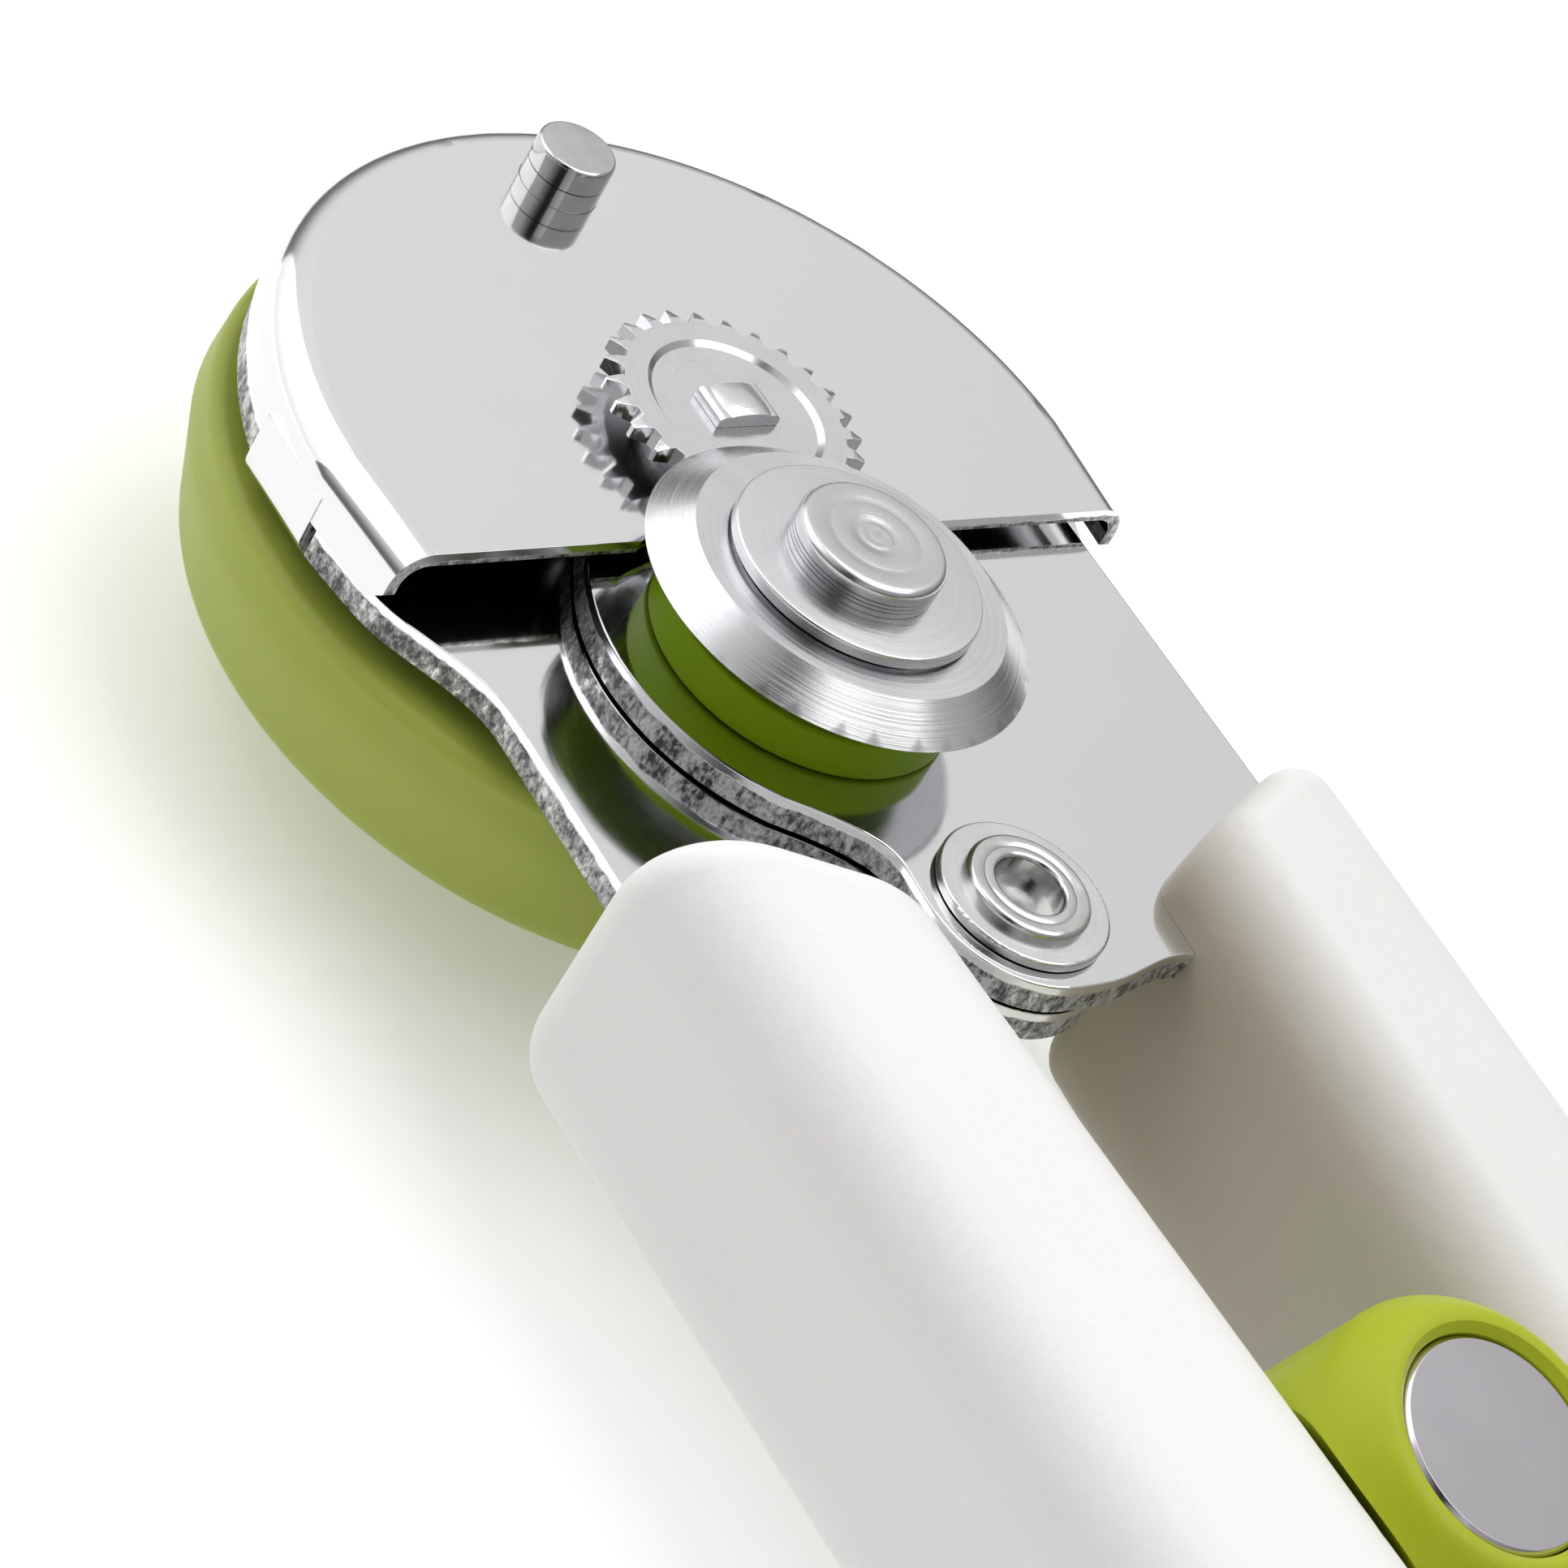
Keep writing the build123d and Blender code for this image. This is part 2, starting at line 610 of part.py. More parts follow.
with BuildPart() as guide_roller:
    with BuildSketch(Plane.XY.offset(roller_bottom)):
        with Locations(gear_to_cutter):
            Circle(roller_radius)
            Circle(stud_radius + running, mode=Mode.SUBTRACT)
    extrude(amount=roller_top - roller_bottom)
    fillet(guide_roller.edges().sort_by(SortBy.LENGTH)[-2:], roller_edge)
guide_roller.part.label = "guide_roller"
export_step(guide_roller.part, "parts/guide_roller.step")

with BuildPart() as cutter_hub:
    with BuildSketch(Plane.XY.offset(roller_top + axial)):
        with Locations(gear_to_cutter):
            Circle(hub_radius)
            Circle(stud_radius + running, mode=Mode.SUBTRACT)
    extrude(amount=cutter_bottom - roller_top - axial)
cutter_hub.part.label = "cutter_hub"
export_step(cutter_hub.part, "parts/cutter_hub.step")

with BuildPart() as cutter_wheel:
    with BuildSketch(Plane(origin=(cutter_x, cutter_y, 0), x_dir=(1, 0, 0), z_dir=(0, -1, 0))):
        with BuildLine():
            Polyline((stud_radius + running, cutter_bottom), (cutter_radius - 0.3, cutter_bottom),
                     (cutter_radius, cutter_bottom + cutter_edge_drop), (cutter_land_radius, cutter_top),
                     (stud_radius + running, cutter_top), close=True)
        make_face()
    revolve(axis=Axis((cutter_x, cutter_y, 0), (0, 0, 1)))
cutter_wheel.part.label = "cutter_wheel"
export_step(cutter_wheel.part, "parts/cutter_wheel.step")

# ---------------------------------------------------------------- jaw pivot
rivet_top = rivet_washer_top + rivet_head_height
rivet_foot = lower_bottom - pivot_washer_thickness - rivet_head_height
with BuildPart() as pivot_rivet:
    with BuildSketch(Plane.XY.offset(rivet_foot)):
        with Locations(gear_to_pivot):
            Circle(rivet_radius)
    extrude(amount=rivet_top - rivet_foot)
    for head_start in (rivet_foot, rivet_washer_top):
        with BuildSketch(Plane.XY.offset(head_start)):
            with Locations(gear_to_pivot):
                Circle(rivet_head_radius)
        extrude(amount=rivet_head_height)
    fillet(pivot_rivet.faces().sort_by(Axis.Z)[-1].edges(), rivet_head_round)
    fillet(pivot_rivet.faces().sort_by(Axis.Z)[0].edges(), rivet_head_round)
    with BuildSketch(Plane.XY.offset(rivet_top - rivet_bore_depth)):
        with Locations(gear_to_pivot):
            Circle(rivet_bore_radius)
    extrude(amount=rivet_bore_depth, mode=Mode.SUBTRACT)
    bore_mouth = pivot_rivet.faces().sort_by(Axis.Z)[-1].edges().sort_by(SortBy.LENGTH)[0]
    fillet(bore_mouth, rivet_head_round)
pivot_rivet.part.label = "pivot_rivet"
export_step(pivot_rivet.part, "parts/pivot_rivet.step")

with BuildPart() as pivot_washer_top:
    with BuildSketch(Plane.XY.offset(upper_top + axial)):
        with Locations(gear_to_pivot):
            Circle(pivot_washer_radius)
            Circle(rivet_radius + seat, mode=Mode.SUBTRACT)
    extrude(amount=pivot_washer_thickness)
    fillet(pivot_washer_top.faces().sort_by(Axis.Z)[-1].edges().sort_by(SortBy.LENGTH)[-1], 0.15)
pivot_washer_top.part.label = "pivot_washer_top"
export_step(pivot_washer_top.part, "parts/pivot_washer_top.step")

with BuildPart() as pivot_washer_bottom:
    with BuildSketch(Plane.XY.offset(lower_bottom - pivot_washer_thickness)):
        with Locations(gear_to_pivot):
            Circle(pivot_washer_radius)
            Circle(rivet_radius + seat, mode=Mode.SUBTRACT)
    extrude(amount=pivot_washer_thickness - seat)
pivot_washer_bottom.part.label = "pivot_washer_bottom"
export_step(pivot_washer_bottom.part, "parts/pivot_washer_bottom.step")

# ---------------------------------------------------------------- handles


def inner_face_step(x):
    """Distance in Y from a handle's middle at its station to its inner face at x."""
    beyond = x - handle_station_x
    swell = handle_swell / 2 * beyond / (swell_x - handle_station_x)
    return handle_width / 2 + swell + beyond * tan(radians(handle_toe_in))


def handle_section(middle_y, lean, x, width, height, corner):
    """Rounded cross-section of a handle or of its core at x."""
    with BuildSketch(handle_plane(middle_y, lean, x)) as section:
        RectangleRounded(width, height, corner)
    return section.sketch


def handle_bar(middle_y, lean, grow):
    """Solid bar of a handle, larger by grow all round, before its ends are rounded."""
    height = handle_height + 2 * grow
    corner = handle_corner + grow
    full_width = handle_width + handle_swell + 2 * grow
    start_width = full_width - handle_swell * (swell_x - bar_start_x) / (swell_x - handle_station_x)
    swell_section = handle_section(middle_y, lean, swell_x, full_width, height, corner)
    with BuildPart() as bar:
        add(handle_section(middle_y, lean, bar_start_x, start_width, height, corner))
        add(swell_section)
        loft(ruled=True)
        extrude(swell_section, amount=(handle_end_x + grow - swell_x) / cos(radians(lean)))
        side = 1 if lean > 0 else -1
        name = "near" if lean > 0 else "far"
        front_point = (front_inner_x[name] - grow, middle_y + side * handle_width / 2, 0)
        slant = radians(front_slant[name])
        inwards = (cos(slant), -side * sin(slant), 0)
        split(bisect_by=Plane(origin=front_point, z_dir=inwards), keep=Keep.TOP)
    return bar.part


def handle_core_block(middle_y, lean, grow):
    """Outer shape of a handle's core, larger by grow all round."""
    core_start = max(front_inner_x.values()) + core_front - grow
    core_end = handle_end_x - core_end_wall - 2 * hang_hole_inset + grow
    section = handle_section(middle_y, lean, core_start, core_width + 2 * grow, core_height + 2 * grow, core_corner)
    with BuildPart() as block:
        extrude(section, amount=(core_end - core_start) / cos(radians(lean)))
    return block.part


def handle_shell(middle_y, lean, outline, sheet_bottom, sheet):
    """Grip of a handle: rounded bar, hollow for its core, with the slot of the jaw plate."""
    solid_bar = handle_bar(middle_y, lean, 0)
    hollow = handle_core_block(middle_y, lean, seat)
    with BuildPart() as shell:
        add(solid_bar)
        front = shell.faces().filter_by(GeomType.PLANE).sort_by(Axis.X)[0]
        fillet(front.edges(), front_round)
        end = shell.faces().filter_by(GeomType.PLANE).sort_by(Axis.X)[-1]
        fillet(end.edges(), end_round)
        add(hollow, mode=Mode.SUBTRACT)
        with BuildSketch(Plane.XY.offset(sheet_bottom - seat)):
            add(outline)
        extrude(amount=sheet + 2 * seat, mode=Mode.SUBTRACT)
    return shell.part


def handle_core(middle_y, lean, outline, sheet_bottom, sheet, pins):
    """Hard core of a handle with the slot of the tang and the holes of its pins."""
    block = handle_core_block(middle_y, lean, 0)
    with BuildPart() as core:
        add(block)
        with BuildSketch(Plane.XY.offset(sheet_bottom - seat)):
            add(outline)
        extrude(amount=sheet + 2 * seat, mode=Mode.SUBTRACT)
        with BuildSketch(Plane.XY.offset(handle_middle_z - pin_length / 2 - seat)):
            with Locations(*pins):
                Circle(pin_radius + seat)
        extrude(amount=pin_length + 2 * seat, mode=Mode.SUBTRACT)
    return core.part


# near handle, with the pocket of the lock pawl in its inner wall
near_inner_y = near_middle_y + inner_face_step(pawl_x)
pocket_top = pawl_pin_z + 3.6
pocket_bottom = pawl_pin_z - 3.2
with BuildPart() as pawl_pocket:
    with BuildSketch(Plane.XY.offset(pocket_bottom)):
        with Locations((pawl_x + 0.8, near_inner_y - pocket_depth / 2 + 1.0)):
            Rectangle(pocket_length, pocket_depth + 2.0)
    extrude(amount=pocket_top - pocket_bottom)

catch_y = near_inner_y - catch_wire - 0.15
catch_z = pawl_pin_z - pawl_arm / 2 - 0.15 - catch_wire
catch_reach = pocket_length / 2 + 1.2
with BuildPart() as catch_spring:
    with BuildSketch(Plane.YZ.offset(pawl_x + 0.8 - catch_reach)):
        with Locations((catch_y, catch_z)):
            Circle(catch_wire)
    extrude(amount=2 * catch_reach)
catch_spring.part.label = "catch_spring"
export_step(catch_spring.part, "parts/catch_spring.step")

near_shell = handle_shell(near_middle_y, handle_toe_in, lower_jaw_outline.sketch, lower_bottom, lower_jaw_sheet)
with BuildPart() as near_handle_grip:
    add(near_shell)
    add(pawl_pocket.part, mode=Mode.SUBTRACT)
    with BuildSketch(Plane.YZ.offset(pawl_x + 0.8 - catch_reach - seat)):
        with Locations((catch_y, catch_z)):
            Circle(catch_wire + seat)
    extrude(amount=2 * catch_reach + 2 * seat, mode=Mode.SUBTRACT)
near_handle_grip.part.label = "near_handle_grip"
export_step(near_handle_grip.part, "parts/near_handle_grip.step")

near_core = handle_core(near_middle_y, handle_toe_in, lower_jaw_outline.sketch, lower_bottom,
                        lower_jaw_sheet, pin_places["near"])
with BuildPart() as near_handle_core:
    add(near_core)
    add(pawl_pocket.part, mode=Mode.SUBTRACT)
near_handle_core.part.label = "near_handle_core"
export_step(near_handle_core.part, "parts/near_handle_core.step")

# far handle, with a hang hole through its end
drift_at_hole = (handle_end_x - hang_hole_inset - handle_station_x) * tan(radians(handle_toe_in))
hang_hole_place = (handle_end_x - hang_hole_inset, far_middle_y - drift_at_hole)
screw_xs = (button_place[0] - 3.0 - housing_screw_spread / 2, button_place[0] - 3.0 + housing_screw_spread / 2)
far_face_y = far_middle_y - inner_face_step(button_place[0])
screw_start_y = far_face_y - 2.5
screw_z = handle_middle_z - 3.2
screw_plane = Plane(origin=(0, screw_start_y, 0), x_dir=(1, 0, 0), z_dir=(0, 1, 0))
far_shell = handle_shell(far_middle_y, -handle_toe_in, upper_jaw_outline.sketch, upper_bottom, upper_jaw_sheet)
with BuildPart() as far_handle_grip:
    add(far_shell)
    with BuildSketch(Plane.XY.offset(handle_middle_z - handle_height)):
        with Locations(hang_hole_place):
            Circle(hang_hole_radius)
    extrude(amount=2 * handle_height, mode=Mode.SUBTRACT)
    with BuildSketch(screw_plane):
        with Locations((screw_xs[0], -screw_z), (screw_xs[1], -screw_z)):
            Circle(housing_screw_radius + seat)
    extrude(amount=housing_screw_length + seat, mode=Mode.SUBTRACT)
far_handle_grip.part.label = "far_handle_grip"
export_step(far_handle_grip.part, "parts/far_handle_grip.step")

far_core = handle_core(far_middle_y, -handle_toe_in, upper_jaw_outline.sketch, upper_bottom,
                       upper_jaw_sheet, pin_places["far"])
with BuildPart() as far_handle_core:
    add(far_core)
    with BuildSketch(screw_plane):
        with Locations((screw_xs[0], -screw_z), (screw_xs[1], -screw_z)):
            Circle(housing_screw_radius + seat)
    extrude(amount=housing_screw_length + seat, mode=Mode.SUBTRACT)
far_handle_core.part.label = "far_handle_core"
export_step(far_handle_core.part, "parts/far_handle_core.step")

with BuildPart() as near_tang_pins:
    with BuildSketch(Plane.XY.offset(handle_middle_z - pin_length / 2)):
        with Locations(*pin_places["near"]):
            Circle(pin_radius)
    extrude(amount=pin_length)
near_tang_pins.part.label = "near_tang_pins"
export_step(near_tang_pins.part, "parts/near_tang_pins.step")

with BuildPart() as far_tang_pins:
    with BuildSketch(Plane.XY.offset(handle_middle_z - pin_length / 2)):
        with Locations(*pin_places["far"]):
            Circle(pin_radius)
    extrude(amount=pin_length)
far_tang_pins.part.label = "far_tang_pins"
export_step(far_tang_pins.part, "parts/far_tang_pins.step")

# ---------------------------------------------------------------- lock button and its housing
tilt = radians(button_tilt)
button_axis = (sin(tilt), 0, cos(tilt))
button_bore = button_radius + button_bore_clearance
pawl_back_z = pawl_pin_z + pawl_arm / 2
stem_length = (button_place[2] - pawl_back_z - tip_gap - tip_radius * sin(tilt)) / cos(tilt)


def button_plane(depth):
    """Plane square to the button's axis, depth below the button's top face."""
    origin = tuple(place - depth * part for place, part in zip(button_place, button_axis))
    return Plane(origin=origin, x_dir=(cos(tilt), 0, -sin(tilt)), z_dir=button_axis)


profile_plane = Plane(origin=button_place, x_dir=(cos(tilt), 0, -sin(tilt)), z_dir=(0, -1, 0))
button_line = Axis(button_place, button_axis)
housing_foot = -housing_depth
slot_foot = button_place[2] - housing_depth - 4.0
near_space = handle_bar(near_middle_y, handle_toe_in, guard)
far_space = handle_bar(far_middle_y, -handle_toe_in, seat)
with BuildPart() as button_housing:
    with BuildSketch(profile_plane):
        with BuildLine():
            Line((button_bore, collar_rise - 0.45), (button_bore + 0.45, collar_rise))
            Spline((button_bore + 0.45, collar_rise), (collar_radius - 1.1, -0.45),
                   (collar_radius - 0.15, -2.0), (collar_radius, -collar_shoulder),
                   tangents=[(1, 0.12), (0, -1)])
            Polyline((collar_radius, -collar_shoulder), (collar_radius + collar_flare, housing_foot + 1.5),
                     (collar_radius + collar_flare - 1.2, housing_foot),
                     (0, housing_foot), (0, -spring_floor), (button_bore, -spring_floor),
                     (button_bore, collar_rise - 0.45))
        make_face()
    revolve(axis=button_line)
    # clear of the near handle, seated on the far handle
    add(near_space, mode=Mode.SUBTRACT)
    add(far_space, mode=Mode.SUBTRACT)
    with BuildSketch(button_plane(spring_floor + spring_floor_thickness)):
        Circle(stem_radius + running)
    extrude(amount=spring_floor_thickness, mode=Mode.SUBTRACT)
    # slot of the pawl, open below and towards the near handle
    slot_width = pawl_thickness + 2 * pawl_slot_clearance
    slot_top = pawl_pin_z + 3.5
    with BuildSketch(Plane.XY.offset(slot_foot)):
        with Locations((pawl_x, pawl_pin_y - 3.0 + (pawl_tail + 5.4) / 2)):
            Rectangle(slot_width, pawl_tail + 5.4)
    extrude(amount=slot_top - slot_foot, mode=Mode.SUBTRACT)
    tip_end = stem_length + button_travel + guard
    with BuildSketch(button_plane(tip_end)):
        Circle(stem_radius + guard)
    extrude(amount=tip_end - spring_floor - spring_floor_thickness, mode=Mode.SUBTRACT)
    with BuildSketch(Plane.YZ.offset(pawl_x - 5.0)):
        with Locations((pawl_pin_y, pawl_pin_z)):
            Circle(pawl_pin_radius + seat)
    extrude(amount=10.0, mode=Mode.SUBTRACT)
    with BuildSketch(screw_plane):
        with Locations((screw_xs[0], -screw_z), (screw_xs[1], -screw_z)):
            Circle(housing_screw_radius + seat)
    extrude(amount=housing_screw_length, mode=Mode.SUBTRACT)
button_housing.part.label = "button_housing"
export_step(button_housing.part, "parts/button_housing.step")

with BuildPart() as housing_screws:
    with BuildSketch(screw_plane):
        with Locations((screw_xs[0], -screw_z), (screw_xs[1], -screw_z)):
            Circle(housing_screw_radius)
    extrude(amount=housing_screw_length)
housing_screws.part.label = "housing_screws"
export_step(housing_screws.part, "parts/housing_screws.step")

with BuildPart() as release_button:
    with BuildSketch(button_plane(button_thickness)):
        Circle(button_radius)
    extrude(amount=button_thickness)
    chamfer(release_button.faces().sort_by(Axis.Z)[-1].edges(), button_edge)
release_button.part.label = "release_button"
export_step(release_button.part, "parts/release_button.step")

with BuildPart() as button_plunger:
    with BuildSketch(button_plane(button_thickness + plunger_flange)):
        Circle(button_radius - 0.3)
    extrude(amount=plunger_flange - seat)
    with BuildSketch(button_plane(stem_length - tip_length)):
        Circle(stem_radius)
    extrude(amount=stem_length - tip_length - button_thickness - plunger_flange)
    with BuildSketch(button_plane(stem_length)):
        Circle(tip_radius)
    extrude(amount=tip_length)
button_plunger.part.label = "button_plunger"
export_step(button_plunger.part, "parts/button_plunger.step")

spring_start = spring_floor - spring_wire - spring_gap
spring_end = button_thickness + plunger_flange + spring_wire + spring_gap
spring_height = spring_start - spring_end
with BuildPart() as button_spring:
    with BuildLine() as coil:
        Helix(pitch=spring_height / spring_turns, height=spring_height, radius=spring_radius,
              center=button_plane(spring_start).origin, direction=button_axis)
    with BuildSketch(Plane(origin=coil.line @ 0, z_dir=coil.line % 0)):
        Circle(spring_wire)
    sweep()
button_spring.part.label = "button_spring"
export_step(button_spring.part, "parts/button_spring.step")

# ---------------------------------------------------------------- lock pawl and its pin
with BuildPart() as lock_pawl:
    with BuildSketch(Plane.YZ.offset(pawl_x - pawl_thickness / 2)):
        with Locations((pawl_pin_y + (pawl_tail - pawl_nose) / 2, pawl_pin_z)):
            Rectangle(pawl_tail + pawl_nose, pawl_arm)
        with Locations((pawl_pin_y, pawl_pin_z)):
            Circle(pawl_pin_radius + 1.0)
        with Locations((pawl_pin_y - pawl_nose + 0.6, pawl_pin_z - pawl_arm / 2 - pawl_tooth / 2)):
            Rectangle(1.2, pawl_tooth)
        with Locations((pawl_pin_y, pawl_pin_z)):
            Circle(pawl_pin_radius + running, mode=Mode.SUBTRACT)
    extrude(amount=pawl_thickness)
lock_pawl.part.label = "lock_pawl"
export_step(lock_pawl.part, "parts/lock_pawl.step")

with BuildPart() as pawl_pin:
    with BuildSketch(Plane.YZ.offset(pawl_x - 4.5)):
        with Locations((pawl_pin_y, pawl_pin_z)):
            Circle(pawl_pin_radius)
    extrude(amount=9.0)
pawl_pin.part.label = "pawl_pin"
export_step(pawl_pin.part, "parts/pawl_pin.step")
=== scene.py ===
from math import cos, pi, radians, sin

import bmesh
import bpy
from mathutils import Matrix, Vector


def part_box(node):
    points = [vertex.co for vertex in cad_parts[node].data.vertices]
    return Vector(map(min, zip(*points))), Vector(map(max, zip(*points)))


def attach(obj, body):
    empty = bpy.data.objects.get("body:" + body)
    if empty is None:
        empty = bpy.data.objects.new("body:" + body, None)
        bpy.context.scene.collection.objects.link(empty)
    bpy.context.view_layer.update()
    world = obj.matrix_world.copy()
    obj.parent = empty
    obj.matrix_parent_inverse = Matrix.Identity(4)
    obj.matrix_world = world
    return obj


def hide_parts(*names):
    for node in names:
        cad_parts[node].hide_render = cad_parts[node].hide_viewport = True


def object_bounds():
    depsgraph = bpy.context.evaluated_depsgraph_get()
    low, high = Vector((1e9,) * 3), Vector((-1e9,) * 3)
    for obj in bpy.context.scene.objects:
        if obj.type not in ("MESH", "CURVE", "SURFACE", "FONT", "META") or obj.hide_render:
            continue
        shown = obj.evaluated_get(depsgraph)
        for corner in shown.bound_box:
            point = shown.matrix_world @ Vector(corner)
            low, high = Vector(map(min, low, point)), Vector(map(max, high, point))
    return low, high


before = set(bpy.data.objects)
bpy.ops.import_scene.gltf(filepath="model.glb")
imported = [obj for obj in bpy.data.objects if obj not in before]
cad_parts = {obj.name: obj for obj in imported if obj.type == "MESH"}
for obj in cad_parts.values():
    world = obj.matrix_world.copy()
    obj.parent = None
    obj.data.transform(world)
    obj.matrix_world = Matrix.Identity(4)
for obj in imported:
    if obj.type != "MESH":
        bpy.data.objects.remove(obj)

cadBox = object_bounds()
mm = 0.001
print("frame loaded, CAD box kept")


# small helpers for node trees
def put(tree, kind, inputs=None, **settings):
    made = tree.nodes.new(kind)
    for key, value in settings.items():
        setattr(made, key, value)
    for key, value in (inputs or {}).items():
        if isinstance(value, bpy.types.NodeSocket):
            tree.links.new(value, made.inputs[key])
        else:
            made.inputs[key].default_value = value
    return made


def sums(tree, operation, first, second=0.0, third=0.0):
    return put(tree, "ShaderNodeMath", {0: first, 1: second, 2: third}, operation=operation).outputs[0]


def noise(tree, vector, scale, detail=3.0, rough=0.55, distortion=0.0):
    made = put(tree, "ShaderNodeTexNoise", {"Vector": vector, "Scale": scale, "Detail": detail,
                                            "Roughness": rough, "Distortion": distortion})
    return made.outputs["Fac"]


def spread(tree, value, low, high, outLow, outHigh):
    made = put(tree, "ShaderNodeMapRange", {"Value": value, "From Min": low, "From Max": high,
                                            "To Min": outLow, "To Max": outHigh})
    return made.outputs["Result"]


def blendColour(tree, factor, first, second, kind="MIX"):
    made = put(tree, "ShaderNodeMix", data_type="RGBA", blend_type=kind)
    for index, value in ((0, factor), (6, first), (7, second)):
        if isinstance(value, bpy.types.NodeSocket):
            tree.links.new(value, made.inputs[index])
        elif index == 0:
            made.inputs[0].default_value = value
        else:
            made.inputs[index].default_value = (*value, 1.0)
    return made.outputs[2]


def stretched(tree, vector, scale):
    return put(tree, "ShaderNodeMapping", {"Vector": vector, "Scale": scale}).outputs[0]


def bumped(tree, height, strength, distance, below=None):
    inputs = {"Height": height, "Strength": strength, "Distance": distance}
    if below is not None:
        inputs["Normal"] = below
    return put(tree, "ShaderNodeBump", inputs).outputs[0]


def startMaterial(name, metallic=0.0):
    material = bpy.data.materials.new(name)
    material.use_nodes = True
    tree = material.node_tree
    tree.nodes.clear()
    shader = put(tree, "ShaderNodeBsdfPrincipled", {"Metallic": metallic})
    end = put(tree, "ShaderNodeOutputMaterial")
    tree.links.new(shader.outputs[0], end.inputs[0])
    place = put(tree, "ShaderNodeTexCoord").outputs["Object"]
    return material, tree, shader, place


def connect(tree, shader, **sources):
    names = {"colour": "Base Color", "rough": "Roughness", "normal": "Normal"}
    for key, source in sources.items():
        tree.links.new(source, shader.inputs[names[key]])


# the plates: mirror-polished faces, torn edges under a bright rolled corner
plateLook = {"steel": (0.80, 0.80, 0.81), "edge": (0.66, 0.66, 0.67), "edgeDark": (0.09, 0.09, 0.10),
             "corner": (0.88, 0.88, 0.89), "cloudShade": 0.955, "roughLow": 0.05, "roughHigh": 0.13,
             "edgeRough": 0.40, "cornerRough": 0.20,
             "rollover": 0.28 * mm, "cornerFrom": 2.3, "cornerTo": 1.9,
             "ragged": 0.5 * mm, "raggedScale": 700.0, "tornScale": 3400.0, "pitScale": 900.0,
             "cloudScale": 55.0, "rubScale": 2600.0, "waveScale": 38.0, "waveDepth": 0.25 * mm,
             "rubDepth": 0.02 * mm, "tornDepth": 0.10 * mm, "sideFrom": 0.30, "sideTo": 0.45,
             "frontFrom": 0.93, "frontTo": 0.98}


def makePlate(name, look, top, edgeAxis):
    material, tree, shader, place = startMaterial(name, 1.0)
    facing = put(tree, "ShaderNodeSeparateXYZ", {0: put(tree, "ShaderNodeTexCoord").outputs["Normal"]})
    if edgeAxis == "sides":
        upright = sums(tree, "ABSOLUTE", facing.outputs[2])
        edge = spread(tree, upright, look["sideFrom"], look["sideTo"], 1.0, 0.0)
    else:
        edge = spread(tree, facing.outputs[0], look["frontFrom"], look["frontTo"], 0.0, 1.0)
    height = put(tree, "ShaderNodeSeparateXYZ", {0: place}).outputs[2]
    ragged = noise(tree, place, look["raggedScale"], 3.0, 0.6)
    height = sums(tree, "MULTIPLY_ADD", ragged, look["ragged"], height)
    height = sums(tree, "SUBTRACT", height, look["ragged"] / 2)
    # the rolled corner is smoother and brighter than the torn part below it
    corner = spread(tree, height, top - look["rollover"] * look["cornerFrom"],
                    top - look["rollover"] * look["cornerTo"], 0.0, 1.0)
    torn = noise(tree, stretched(tree, place, (1.0, 1.0, 0.5)), look["tornScale"], 5.0, 0.72)
    pits = noise(tree, stretched(tree, place, (1.0, 1.0, 0.7)), look["pitScale"], 4.0, 0.65)
    speck = spread(tree, sums(tree, "MULTIPLY_ADD", pits, 0.8, torn), 0.76, 1.02, 0.0, 1.0)
    edgeColour = blendColour(tree, speck, look["edgeDark"], look["edge"])
    edgeColour = blendColour(tree, corner, edgeColour, look["corner"])
    cloud = noise(tree, place, look["cloudScale"], 4.0, 0.6)
    rubbed = noise(tree, stretched(tree, place, (0.05, 1.0, 1.0)), look["rubScale"], 3.0, 0.6)
    clouded = tuple(look["cloudShade"] * part for part in look["steel"])
    steel = blendColour(tree, cloud, clouded, look["steel"])
    rubbedCloud = sums(tree, "MULTIPLY_ADD", rubbed, 0.45, cloud)
    polish = spread(tree, rubbedCloud, 0.55, 1.0, look["roughLow"], look["roughHigh"])
    colour = blendColour(tree, edge, steel, edgeColour)
    edgePolish = spread(tree, corner, 0.0, 1.0, look["edgeRough"], look["cornerRough"])
    onFace = sums(tree, "SUBTRACT", 1.0, edge)
    rough = sums(tree, "ADD", sums(tree, "MULTIPLY", onFace, polish),
                 sums(tree, "MULTIPLY", edge, edgePolish))
    wave = bumped(tree, noise(tree, place, look["waveScale"], 1.0, 0.4), 0.10, look["waveDepth"])
    grain = bumped(tree, sums(tree, "MULTIPLY", rubbed, onFace), 0.012, look["rubDepth"], wave)
    belowCorner = sums(tree, "MULTIPLY", edge, sums(tree, "SUBTRACT", 1.0, corner))
    tear = bumped(tree, sums(tree, "MULTIPLY", speck, belowCorner), 0.75, look["tornDepth"], grain)
    connect(tree, shader, colour=colour, rough=rough, normal=tear)
    return material


turnedLook = {"steel": (0.78, 0.78, 0.79), "dark": (0.46, 0.47, 0.50), "ringScale": 9000.0, "roughLow": 0.16,
              "roughHigh": 0.34, "ringDepth": 0.22, "sweep": (2.2, 2.2, 0.0), "sectors": 1.7,
              "markShade": 0.35, "grooveDepth": 0.03 * mm, "markDepth": 0.02 * mm}


